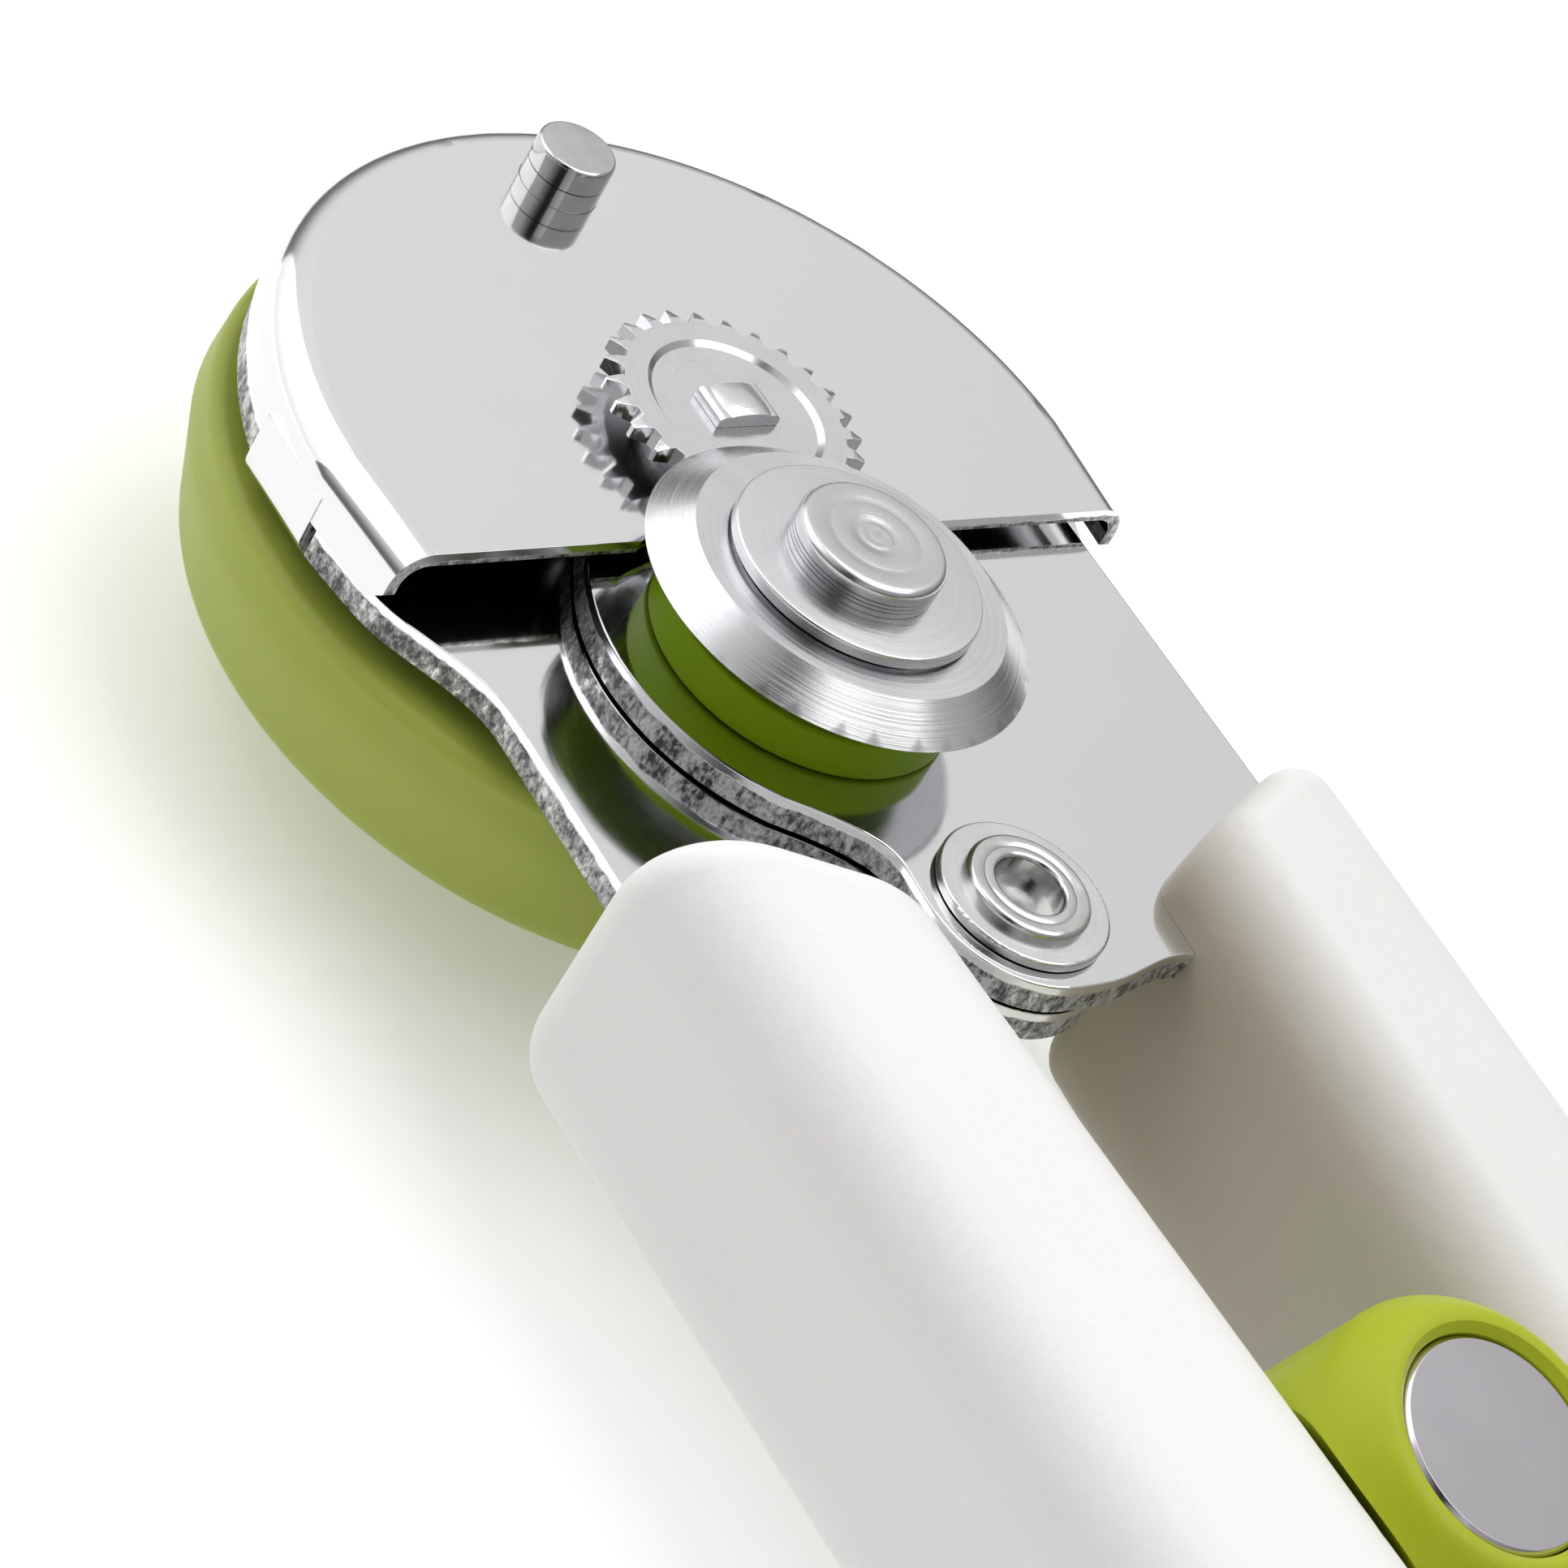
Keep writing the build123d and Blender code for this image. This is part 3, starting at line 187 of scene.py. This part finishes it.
# the last argument is how dark the broad sectors round the axis get: painted reflection, set at random
# angles, standing in for the dark streaks that turned steel reflects
def makeTurned(name, look, middle, paintedReflectionDark):
    material, tree, shader, place = startMaterial(name, 1.0)
    part = put(tree, "ShaderNodeSeparateXYZ", {0: place})
    dx = sums(tree, "SUBTRACT", part.outputs[0], middle[0])
    dy = sums(tree, "SUBTRACT", part.outputs[1], middle[1])
    radius = sums(tree, "SQRT", sums(tree, "MULTIPLY_ADD", dx, dx, sums(tree, "MULTIPLY", dy, dy)))
    across, up = sums(tree, "DIVIDE", dx, radius), sums(tree, "DIVIDE", dy, radius)
    around = put(tree, "ShaderNodeCombineXYZ", {0: across, 1: up}).outputs[0]
    track = sums(tree, "MULTIPLY", sums(tree, "SUBTRACT", radius, part.outputs[2]), look["ringScale"])
    # turning marks: long round the axis, short across it
    swept = put(tree, "ShaderNodeVectorMath", {0: around, 1: look["sweep"]}, operation="MULTIPLY").outputs[0]
    trackWay = put(tree, "ShaderNodeCombineXYZ", {2: track}).outputs[0]
    lifted = put(tree, "ShaderNodeVectorMath", {0: swept, 1: trackWay}, operation="ADD").outputs[0]
    marks = noise(tree, lifted, 1.0, 4.0, 0.7)
    rings = put(tree, "ShaderNodeTexNoise", {"W": track, "Scale": 0.45, "Detail": 2.0},
                noise_dimensions="1D").outputs["Fac"]
    sector = noise(tree, around, look["sectors"], 2.0, 0.55)
    tone = spread(tree, sector, 0.35, 0.68, paintedReflectionDark, 0.0)
    colour = blendColour(tree, tone, look["steel"], look["dark"])
    colour = blendColour(tree, spread(tree, marks, 0.25, 0.75, look["markShade"], 0.0), colour, look["dark"])
    ringedMarks = sums(tree, "MULTIPLY_ADD", rings, 0.5, marks)
    rough = spread(tree, ringedMarks, 0.45, 1.0, look["roughHigh"], look["roughLow"])
    groove = bumped(tree, rings, look["ringDepth"], look["grooveDepth"])
    scratch = bumped(tree, marks, look["ringDepth"], look["markDepth"], groove)
    connect(tree, shader, colour=colour, rough=rough, normal=scratch)
    return material


# plated or barrelled steel: cloudy polish with small dings
brightLook = {"steel": (0.74, 0.74, 0.75), "roughLow": 0.10, "roughHigh": 0.26}
bumpLook = {"dingScale": 0.35, "fine": 0.36, "fineDepth": 0.03 * mm, "ding": 0.42, "dingDepth": 0.08 * mm}


def makeBright(name, look, scale=700.0, cloudy=0.28):
    material, tree, shader, place = startMaterial(name, 1.0)
    cloud = noise(tree, place, scale, 4.0, 0.6)
    dings = noise(tree, place, scale * bumpLook["dingScale"], 2.0, 0.5, 0.4)
    colour = blendColour(tree, spread(tree, cloud, 0.3, 0.7, 0.5, 0.0), look["steel"],
                         tuple((1.0 - cloudy) * part for part in look["steel"]))
    rough = spread(tree, cloud, 0.3, 0.7, look["roughLow"], look["roughHigh"])
    fine = bumped(tree, cloud, bumpLook["fine"] * cloudy, bumpLook["fineDepth"])
    dented = bumped(tree, dings, bumpLook["ding"] * cloudy, bumpLook["dingDepth"], fine)
    connect(tree, shader, colour=colour, rough=rough, normal=dented)
    return material


# moulded plastic: fine skin grain, slow colour drift, a little light inside it
mouldedLook = {"driftScale": 26.0, "poreScale": 0.6, "poreShade": 0.6,
               "poreDepth": 0.03 * mm, "skinDepth": 0.04 * mm,
               "lightReach": (1.0, 0.75, 0.45), "lightDepth": 1.5 * mm, "sheenRough": 0.5}


def makeMoulded(name, colour, shade, rough, grain, grainDepth, glow=0.0, sheen=0.0, paintedShade=None, shine=0.3):
    look = mouldedLook
    material, tree, shader, place = startMaterial(name)
    drift = noise(tree, place, look["driftScale"], 3.0, 0.5)
    skin = noise(tree, place, grain, 3.0, 0.6)
    pores = put(tree, "ShaderNodeTexVoronoi", {"Vector": place, "Scale": grain * look["poreScale"]},
                feature="SMOOTH_F1").outputs["Distance"]
    base = blendColour(tree, spread(tree, drift, 0.3, 0.7, 0.0, 1.0), colour, shade)
    poreColour = tuple(look["poreShade"] * part for part in shade)
    base = blendColour(tree, spread(tree, skin, 0.35, 0.65, 0.06, 0.0), base, poreColour)
    if paintedShade:
        # painted shade: darker, warmer colour on the side that faces -Y, strongest near the head
        normal = put(tree, "ShaderNodeTexCoord").outputs["Normal"]
        side = put(tree, "ShaderNodeSeparateXYZ", {0: normal}).outputs[1]
        along = put(tree, "ShaderNodeSeparateXYZ", {0: place}).outputs[0]
        turned = spread(tree, sums(tree, "MULTIPLY", side, paintedShade["way"]), paintedShade["start"], 0.9, 0.0, 1.0)
        waved = sums(tree, "MULTIPLY_ADD", drift, 10 * mm, along)
        near = spread(tree, waved, paintedShade["from"], paintedShade["to"], 1.0, paintedShade["left"])
        base = blendColour(tree, sums(tree, "MULTIPLY", turned, near), base, paintedShade["tint"], "MULTIPLY")
    worn = sums(tree, "MULTIPLY_ADD", skin, 0.5, drift)
    roughness = spread(tree, worn, 0.5, 1.0, rough - 0.05, rough + 0.06)
    lumps = bumped(tree, skin, grainDepth, look["skinDepth"])
    pitted = bumped(tree, pores, grainDepth * 0.7, look["poreDepth"], lumps)
    connect(tree, shader, colour=base, rough=roughness, normal=pitted)
    shader.inputs["Subsurface Weight"].default_value = glow
    shader.inputs["Subsurface Radius"].default_value = look["lightReach"]
    shader.inputs["Subsurface Scale"].default_value = look["lightDepth"]
    shader.inputs["Sheen Weight"].default_value = sheen
    shader.inputs["Sheen Roughness"].default_value = look["sheenRough"]
    shader.inputs["Specular IOR Level"].default_value = shine
    return material


def topOf(node):
    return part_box(node)[1].z


def middleOf(node):
    low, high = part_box(node)
    return ((low.x + high.x) / 2, (low.y + high.y) / 2)


cutterMiddle, pivotMiddle, driveMiddle = middleOf("cutter_wheel"), middleOf("pivot_rivet"), (0.0, 0.0)
studLook = dict(turnedLook, ringScale=7000.0, steel=(0.66, 0.66, 0.67))
washerLook = dict(turnedLook, roughLow=0.14, ringDepth=0.16)
gearLook = dict(turnedLook, roughLow=0.12, roughHigh=0.25, ringDepth=0.1)
pivotLook = dict(turnedLook, roughLow=0.16, ringDepth=0.1)
rivetLook = dict(brightLook, steel=(0.66, 0.66, 0.65))
magnetLook = dict(brightLook, steel=(0.60, 0.59, 0.58), roughLow=0.05, roughHigh=0.12)
discLook = dict(brightLook, steel=(0.66, 0.64, 0.67), roughLow=0.14, roughHigh=0.18)
finishes = {
    "lower_jaw_plate": makePlate("lowerPlateSteel", plateLook, topOf("lower_jaw_plate"), "sides"),
    "upper_jaw_plate": makePlate("upperPlateSteel", plateLook, topOf("upper_jaw_plate"), "sides"),
    "cover_plate": makePlate("coverSteel", plateLook, topOf("cover_plate"), "front"),
    "cutter_wheel": makeTurned("cutterSteel", turnedLook, cutterMiddle, 0.35),
    "cutter_hub": makeTurned("hubSteel", turnedLook, cutterMiddle, 0.3),
    "cutter_stud": makeTurned("studSteel", studLook, cutterMiddle, 0.15),
    "cutter_washer": makeTurned("washerSteel", washerLook, cutterMiddle, 0.15),
    "drive_gear": makeTurned("gearSteel", gearLook, driveMiddle, 0.15),
    "drive_shaft": makeTurned("shaftSteel", turnedLook, driveMiddle, 0.2),
    "pivot_rivet": makeBright("rivetSteel", rivetLook),
    "pivot_washer_top": makeTurned("pivotWasherSteel", pivotLook, pivotMiddle, 0.2),
    "pivot_washer_bottom": makeBright("lowerWasherSteel", brightLook),
    "lid_magnet": makeBright("magnetNickel", magnetLook),
    "release_button": makeBright("buttonChrome", discLook, 120.0, 0.04),
    "shaft_bush": makeBright("bushBronze", {"steel": (0.62, 0.42, 0.20), "roughLow": 0.3, "roughHigh": 0.5}),
    "guide_roller": makeMoulded("rollerGreen", (0.200, 0.320, 0.001), (0.170, 0.280, 0.001),
                                0.42, 3000.0, 0.08, 0.06, shine=0.10),
    "button_housing": makeMoulded("collarGreen", (0.470, 0.530, 0.024), (0.420, 0.495, 0.020),
                                  0.34, 1500.0, 0.16, 0.10, shine=0.22),
}
knobGreen = makeMoulded("knobGreen", (0.360, 0.415, 0.066), (0.320, 0.375, 0.056), 0.46, 3500.0, 0.06, 0.05)
# painted shade on one side of each handle: way is the side's sign in Y, from and to are places in X; on the
# far handle it is darker and warmer, standing in for shadow and warm bounce light between the handles
farHandlePaintedShade = {"way": -1.0, "tint": (0.42, 0.37, 0.28), "start": 0.15,
              "from": 0.035, "to": 0.085, "left": 0.55}
# painted shade: the far handle's white is a darker copy of the near handle's white, and its inward -Y side is
# darker and warmer still
farWhiteWithPaintedShade = makeMoulded("farWhiteWithPaintedShade", (0.86, 0.852, 0.842), (0.83, 0.82, 0.805),
                       0.58, 4200.0, 0.05, 0.12, 0.15, farHandlePaintedShade)
# painted shade: the near handle's outward -Y side is slightly darker, most near the head
nearHandlePaintedShade = {"way": -1.0, "tint": (0.82, 0.81, 0.80), "start": 0.4, "from": 0.035, "to": 0.12, "left": 0.9}
softWhite = makeMoulded("softWhite", (0.95, 0.942, 0.940), (0.93, 0.92, 0.915),
                        0.58, 4200.0, 0.05, 0.12, 0.15, nearHandlePaintedShade)
nylonGrey = makeMoulded("nylonGrey", (0.16, 0.165, 0.17), (0.12, 0.125, 0.13), 0.5, 2600.0, 0.1)
springLook = {"steel": (0.50, 0.52, 0.55), "roughLow": 0.2, "roughHigh": 0.4}
springSteel = makeBright("springSteel", springLook, 1400.0)
pinSteel = makeBright("pinSteel", brightLook, 900.0)
shared = {
    "turning_knob": knobGreen, "knob_cover": knobGreen, "knob_cap": knobGreen,
    "near_handle_grip": softWhite, "far_handle_grip": farWhiteWithPaintedShade,
    "near_handle_core": nylonGrey, "far_handle_core": nylonGrey,
    "thrust_washer": nylonGrey, "button_plunger": nylonGrey,
    "magnet_seat": springSteel, "catch_spring": springSteel, "button_spring": springSteel,
    "near_tang_pins": pinSteel, "far_tang_pins": pinSteel, "housing_screws": pinSteel, "pawl_pin": pinSteel,
    "lock_pawl": pinSteel, "knob_screw": pinSteel,
}
finishes.update(shared)
for node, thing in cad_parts.items():
    thing.data.materials.clear()
    thing.data.materials.append(finishes[node])
print("finishes on", len(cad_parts), "nodes")


# turned and pressed pieces, each made from its outline
turning = {"steps": 144, "onAxis": 1e-6, "sharpAngle": 32}


def loopOf(shape, radius, height, middle):
    if radius < turning["onAxis"]:
        return [shape.verts.new((middle[0], middle[1], height))]
    angles = [2 * pi * step / turning["steps"] for step in range(turning["steps"])]
    return [shape.verts.new((middle[0] + radius * cos(angle), middle[1] + radius * sin(angle), height))
            for angle in angles]


def turnedPiece(name, profile, middle, material, body):
    mesh = bpy.data.meshes.new(name)
    shape = bmesh.new()
    loops = [loopOf(shape, radius, height, middle) for radius, height in profile]
    for lower, upper in zip(loops, loops[1:]):
        for step in range(turning["steps"]):
            after = (step + 1) % turning["steps"]
            if len(lower) == 1:
                shape.faces.new((lower[0], upper[after], upper[step]))
            elif len(upper) == 1:
                shape.faces.new((lower[step], lower[after], upper[0]))
            else:
                shape.faces.new((lower[step], lower[after], upper[after], upper[step]))
    bmesh.ops.recalc_face_normals(shape, faces=shape.faces)
    shape.to_mesh(mesh)
    shape.free()
    return finishPiece(name, mesh, material, body)


def finishPiece(name, mesh, material, body):
    for face in mesh.polygons:
        face.use_smooth = True
    mesh.set_sharp_from_angle(angle=radians(turning["sharpAngle"]))
    mesh.materials.append(material)
    piece = bpy.data.objects.new(name, mesh)
    bpy.context.scene.collection.objects.link(piece)
    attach(piece, body)
    return piece


# quarter round from the side up to the top face
def roundedCorner(radius, height, corner, steps=6):
    angles = [pi / 2 * step / steps for step in range(steps + 1)]
    return [(radius - corner + corner * cos(angle), height - corner + corner * sin(angle))
            for angle in angles]


# stud of the cutting wheel: grooved side, rounded crown, rings left by the peening tool
stud = {"grooves": (0.34, 0.60, 0.86), "grooveWidth": 0.10, "grooveDepth": 0.10, "crown": 0.50, "shank": 3.0,
        "flange": 4.2, "flangeHeight": 0.8, "rings": ((2.75, 0.035), (1.15, 0.05), (0.55, 0.03)),
        "ringReach": 0.16, "ringRise": 0.35, "dimple": 0.02, "chamfer": 0.05, "chamferHeight": 0.06}
studLow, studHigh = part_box("cutter_stud")
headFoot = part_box("cutter_washer")[1].z
headRadius = (studHigh.x - studLow.x) / 2
flangeTop = studLow.z + stud["flangeHeight"] * mm
profile = [(0.0, studLow.z), (stud["flange"] * mm, studLow.z), (stud["flange"] * mm, flangeTop),
           (stud["shank"] * mm, flangeTop), (stud["shank"] * mm, headFoot),
           (headRadius - stud["chamfer"] * mm, headFoot), (headRadius, headFoot + stud["chamferHeight"] * mm)]
for groove in stud["grooves"]:
    for rise, depth in ((0.0, 0.0), (0.3, 1.0), (0.7, 1.0), (1.0, 0.0)):
        profile.append((headRadius - depth * stud["grooveDepth"] * mm,
                        headFoot + (groove + rise * stud["grooveWidth"]) * mm))
profile += roundedCorner(headRadius, studHigh.z, stud["crown"] * mm, 8)
for ring, depth in stud["rings"]:
    for reach, share in ((stud["ringReach"], 0.0), (0.0, 1.0), (-stud["ringReach"], stud["ringRise"])):
        profile.append(((ring + reach) * mm, studHigh.z - share * depth * mm))
profile.append((0.0, studHigh.z - stud["dimple"] * mm))
studPiece = turnedPiece("studHead", profile, cutterMiddle, finishes["cutter_stud"],
                        "upper_jaw")
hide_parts("cutter_stud")

# washer under the stud's head: broken lower corner that leaves a dark line above the wheel
washer = {"foot": 0.16, "undercut": 0.30, "corner": 0.16, "bore": 2.6, "chamfer": 0.04, "chamferHeight": 0.06}
washerLow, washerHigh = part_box("cutter_washer")
washerRadius = (washerHigh.x - washerLow.x) / 2
washerBore = washer["bore"] * mm
footRadius = washerRadius - washer["undercut"] * mm
footHeight = washerLow.z + washer["foot"] * mm
profile = [(washerBore, washerLow.z), (footRadius, washerLow.z), (footRadius, footHeight),
           (washerRadius - washer["chamfer"] * mm, footHeight),
           (washerRadius, washerLow.z + (washer["foot"] + washer["chamferHeight"]) * mm)]
profile += roundedCorner(washerRadius, washerHigh.z, washer["corner"] * mm)
profile += [(washerBore, washerHigh.z), (washerBore, washerLow.z)]
washerPiece = turnedPiece("washerDisc", profile, cutterMiddle, finishes["cutter_washer"],
                          "upper_jaw")
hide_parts("cutter_washer")

# pivot rivet: rolled lip, conical drill point at the foot of its bore
rivet = {"shank": 3.0, "head": 3.7, "headHeight": 0.66, "bore": 2.05, "depth": 1.5, "lip": 0.34, "foot": 0.3,
         "groove": 2.75, "grooveReach": 0.12, "grooveDepth": 0.05, "mouth": 0.28, "mouthSteps": 6,
         "coneRadius": 1.1, "coneRim": 0.05, "coneDepth": 0.3}
rivetLow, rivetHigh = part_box("pivot_rivet")
headLow = rivetHigh.z - rivet["headHeight"] * mm
footTop = rivetLow.z + rivet["headHeight"] * mm
profile = [(0.0, rivetLow.z), ((rivet["head"] - rivet["foot"]) * mm, rivetLow.z),
           (rivet["head"] * mm, rivetLow.z + rivet["foot"] * mm), (rivet["head"] * mm, footTop),
           (rivet["shank"] * mm, footTop), (rivet["shank"] * mm, headLow), (rivet["head"] * mm, headLow)]
profile += roundedCorner(rivet["head"] * mm, rivetHigh.z, rivet["lip"] * mm)
profile += [((rivet["groove"] + rivet["grooveReach"]) * mm, rivetHigh.z),
            (rivet["groove"] * mm, rivetHigh.z - rivet["grooveDepth"] * mm),
            ((rivet["groove"] - rivet["grooveReach"]) * mm, rivetHigh.z)]
for step in range(rivet["mouthSteps"] + 1):
    angle = pi / 2 * step / rivet["mouthSteps"]
    profile.append(((rivet["bore"] + rivet["mouth"] * (1 - sin(angle))) * mm,
                    rivetHigh.z - rivet["mouth"] * (1 - cos(angle)) * mm))
profile += [(rivet["bore"] * mm, rivetHigh.z - rivet["depth"] * mm),
            (rivet["coneRadius"] * mm, rivetHigh.z - (rivet["depth"] + rivet["coneRim"]) * mm),
            (0.0, rivetHigh.z - (rivet["depth"] + rivet["coneDepth"]) * mm)]
rivetPiece = turnedPiece("rivetBody", profile, pivotMiddle, finishes["pivot_rivet"],
                         "lower_jaw")
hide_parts("pivot_rivet")

# lid magnet: rounded cap on a short stem, with the seam between them
magnet = {"round": 0.26, "seam": 0.55, "seamWidth": 0.045, "seamDepth": 0.10}
magnetLow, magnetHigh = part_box("lid_magnet")
magnetRadius = (magnetHigh.x - magnetLow.x) / 2
magnetTall = magnetHigh.z - max(magnetLow.z, 0.0)
seamHeight = magnetHigh.z - magnet["seam"] * magnetTall
profile = [(0.0, magnetLow.z), (magnetRadius, magnetLow.z)]
for rise, depth in ((-1.0, 0.0), (-0.5, 1.0), (0.5, 1.0), (1.0, 0.0)):
    profile.append((magnetRadius - depth * magnet["seamDepth"] * mm,
                    seamHeight + rise * magnet["seamWidth"] * mm))
profile += roundedCorner(magnetRadius, magnetHigh.z, magnet["round"] * mm)
profile.append((0.0, magnetHigh.z))
magnetPiece = turnedPiece("magnetPost", profile, middleOf("lid_magnet"), finishes["lid_magnet"],
                          "lower_jaw")
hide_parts("lid_magnet")

# crown peened over on the end of the drive shaft's tenon
crown = {"width": 2.56, "length": 4.36, "foot": 0.45, "base": 0.16, "rise": 0.60,
         "fullness": 2.6, "droop": 0.22, "cells": 22}
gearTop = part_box("drive_gear")[1].z
mesh = bpy.data.meshes.new("tenonCrown")
shape = bmesh.new()
cells = crown["cells"]
grid = []
for row in range(cells + 1):
    line = []
    for column in range(cells + 1):
        u, v = 2 * column / cells - 1, 2 * row / cells - 1
        arch = crown["rise"] * (1 - abs(v) ** crown["fullness"]) * (1 - crown["droop"] * u * u)
        line.append(shape.verts.new((u * crown["width"] / 2 * mm, v * crown["length"] / 2 * mm,
                                     gearTop + (crown["base"] + arch) * mm)))
    grid.append(line)
for row in range(cells):
    for column in range(cells):
        shape.faces.new((grid[row][column], grid[row][column + 1],
                         grid[row + 1][column + 1], grid[row + 1][column]))
rim = [edge for edge in shape.edges if edge.is_boundary]
skirt = bmesh.ops.extrude_edge_only(shape, edges=rim)
for part in skirt["geom"]:
    if isinstance(part, bmesh.types.BMVert):
        part.co.z = gearTop - crown["foot"] * mm
bmesh.ops.recalc_face_normals(shape, faces=shape.faces)
shape.to_mesh(mesh)
shape.free()
finishPiece("tenonCrown", mesh, finishes["drive_shaft"], "drive")
print("stud, washer, rivet, magnet and tenon crown made")

# softened corners on the CAD pieces, in mm
corners = {"cover_plate": 0.10, "lower_jaw_plate": 0.12, "upper_jaw_plate": 0.12, "drive_gear": 0.05,
           "cutter_wheel": 0.05, "pivot_washer_top": 0.06, "release_button": 0.06, "turning_knob": 0.25}
bevelAngle = 38
for node, width in corners.items():
    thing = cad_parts[node]
    weld = thing.modifiers.new("weld", "WELD")
    weld.merge_threshold = 1e-6
    bevel = thing.modifiers.new("corner", "BEVEL")
    bevel.width = width * mm
    bevel.segments = 3
    bevel.limit_method = "ANGLE"
    bevel.angle_limit = radians(bevelAngle)
    bevel.harden_normals = False
    smooth = thing.modifiers.new("weighted", "WEIGHTED_NORMAL")
    # the knob's two cones flow into each other
    smooth.keep_sharp = node != "turning_knob"
print("corners softened")

# pale floor under the lowest point
studio = {"floorGap": 0.3 * mm, "floorSize": 4.0, "key": 2.1, "top": 2.8, "side": 0.10, "floorGlow": 0.26}
floorLevel = cadBox[0].z - studio["floorGap"]
bpy.ops.mesh.primitive_plane_add(size=studio["floorSize"], location=(0.06, 0.0, floorLevel))
floor = bpy.context.active_object
floor.name = "floor"
floorMaterial, floorTree, floorShader, floorPlace = startMaterial("floorPaper")
fleck = noise(floorTree, floorPlace, 20.0)
connect(floorTree, floorShader, colour=blendColour(floorTree, fleck, (0.93, 0.93, 0.93), (0.90, 0.90, 0.90)))
floorShader.inputs["Roughness"].default_value = 0.9
floorShader.inputs["Specular IOR Level"].default_value = 0.1
floorShader.inputs["Emission Color"].default_value = (1.0, 1.0, 1.0, 1.0)
floorShader.inputs["Emission Strength"].default_value = studio["floorGlow"]
floor.data.materials.append(floorMaterial)


# a softbox hangs at place and faces target
def softbox(name, place, target, size, power):
    lamp = bpy.data.lights.new(name, "AREA")
    lamp.shape = "RECTANGLE"
    lamp.size, lamp.size_y = size
    lamp.energy = power
    holder = bpy.data.objects.new(name, lamp)
    bpy.context.scene.collection.objects.link(holder)
    holder.location = place
    holder.rotation_mode = "QUATERNION"
    holder.rotation_quaternion = (Vector(target) - Vector(place)).to_track_quat("-Z", "Y")


softbox("keyLight", (-0.52, -0.26, 0.36), (0.02, 0.0, 0.0), (0.8, 0.9), studio["key"])
softbox("topLight", (0.06, 0.24, 0.74), (0.03, 0.0, 0.0), (0.8, 0.62), studio["top"])
softbox("sideLight", (0.55, -0.35, 0.25), (0.05, 0.0, 0.0), (0.25, 0.45), studio["side"])

# pale room, brighter on the head's side, with one black flag upright in front
room = {"flagWay": (0.590, -0.807, 0.0), "flagStart": 0.10, "flagEnd": 0.24, "flagLeft": 0.06,
        "acrossFlag": (0.807, 0.590, 0.0), "halfFlag": 0.10, "flagFade": 0.62, "leastFacing": 0.05,
        "brightX": -0.62, "dimX": 0.15, "dim": 0.50, "strength": 0.98}
world = bpy.data.worlds.new("studio")
world.use_nodes = True
bpy.context.scene.world = world
sky = world.node_tree
sky.nodes.clear()
heading = put(sky, "ShaderNodeTexCoord").outputs["Generated"]
way = put(sky, "ShaderNodeSeparateXYZ", {0: heading})
band = put(sky, "ShaderNodeValToRGB", {0: sums(sky, "MULTIPLY_ADD", way.outputs[2], 0.5, 0.5)})
stops = ((0.0, 0.80), (0.48, 0.60), (0.53, 0.16), (0.60, 0.28), (0.72, 0.86), (0.82, 0.95), (1.0, 1.0))
while len(band.color_ramp.elements) < len(stops):
    band.color_ramp.elements.new(0.5)
for element, (position, grey) in zip(band.color_ramp.elements, stops):
    element.position = position
    element.color = (grey, grey, grey, 1.0)


def towards(direction):
    made = put(sky, "ShaderNodeVectorMath", {0: heading, 1: direction}, operation="DOT_PRODUCT")
    return made.outputs["Value"]


facingFlag = towards(room["flagWay"])
offSide = towards(room["acrossFlag"])
ahead = spread(sky, facingFlag, room["flagStart"], room["flagEnd"], 0.0, 1.0)
# the flag keeps its angular width all the way up
reach = sums(sky, "MAXIMUM", facingFlag, room["leastFacing"])
swing = sums(sky, "DIVIDE", sums(sky, "ABSOLUTE", offSide), reach)
within = spread(sky, swing, room["halfFlag"], room["flagFade"], 1.0, 0.0)
flag = spread(sky, sums(sky, "MULTIPLY", ahead, within), 0.0, 1.0, 1.0, room["flagLeft"])
lean = spread(sky, way.outputs[0], room["brightX"], room["dimX"], 1.0, room["dim"])
amount = sums(sky, "MULTIPLY", sums(sky, "MULTIPLY", flag, lean), room["strength"])
around = put(sky, "ShaderNodeBackground", {0: band.outputs[0], 1: amount})
seen = put(sky, "ShaderNodeBackground", {0: (1.0, 1.0, 1.0, 1.0), 1: 1.0})
# the backdrop is plain white
choice = put(sky, "ShaderNodeMixShader", {0: put(sky, "ShaderNodeLightPath").outputs["Is Camera Ray"],
                                          1: around.outputs[0], 2: seen.outputs[0]})
put(sky, "ShaderNodeOutputWorld", {0: choice.outputs[0]})

# camera: its place and its three axes
view = {"lens": 111.80, "sensor": 36.0, "clip": (0.01, 20.0), "place": (0.14491, -0.17515, 0.14985),
        "right": (0.48947, 0.75595, 0.43469), "up": (-0.73120, 0.08419, 0.67695),
        "back": (0.47514, -0.64920, 0.59396)}
camera = bpy.data.cameras.new("camera")
camera.sensor_width = view["sensor"]
camera.lens = view["lens"]
camera.clip_start, camera.clip_end = view["clip"]
eye = bpy.data.objects.new("camera", camera)
bpy.context.scene.collection.objects.link(eye)
turn = Matrix((view["right"], view["up"], view["back"])).transposed().to_4x4()
eye.matrix_world = Matrix.Translation(view["place"]) @ turn
bpy.context.scene.camera = eye
bpy.context.scene.view_settings.view_transform = "Standard"
print("studio ready")
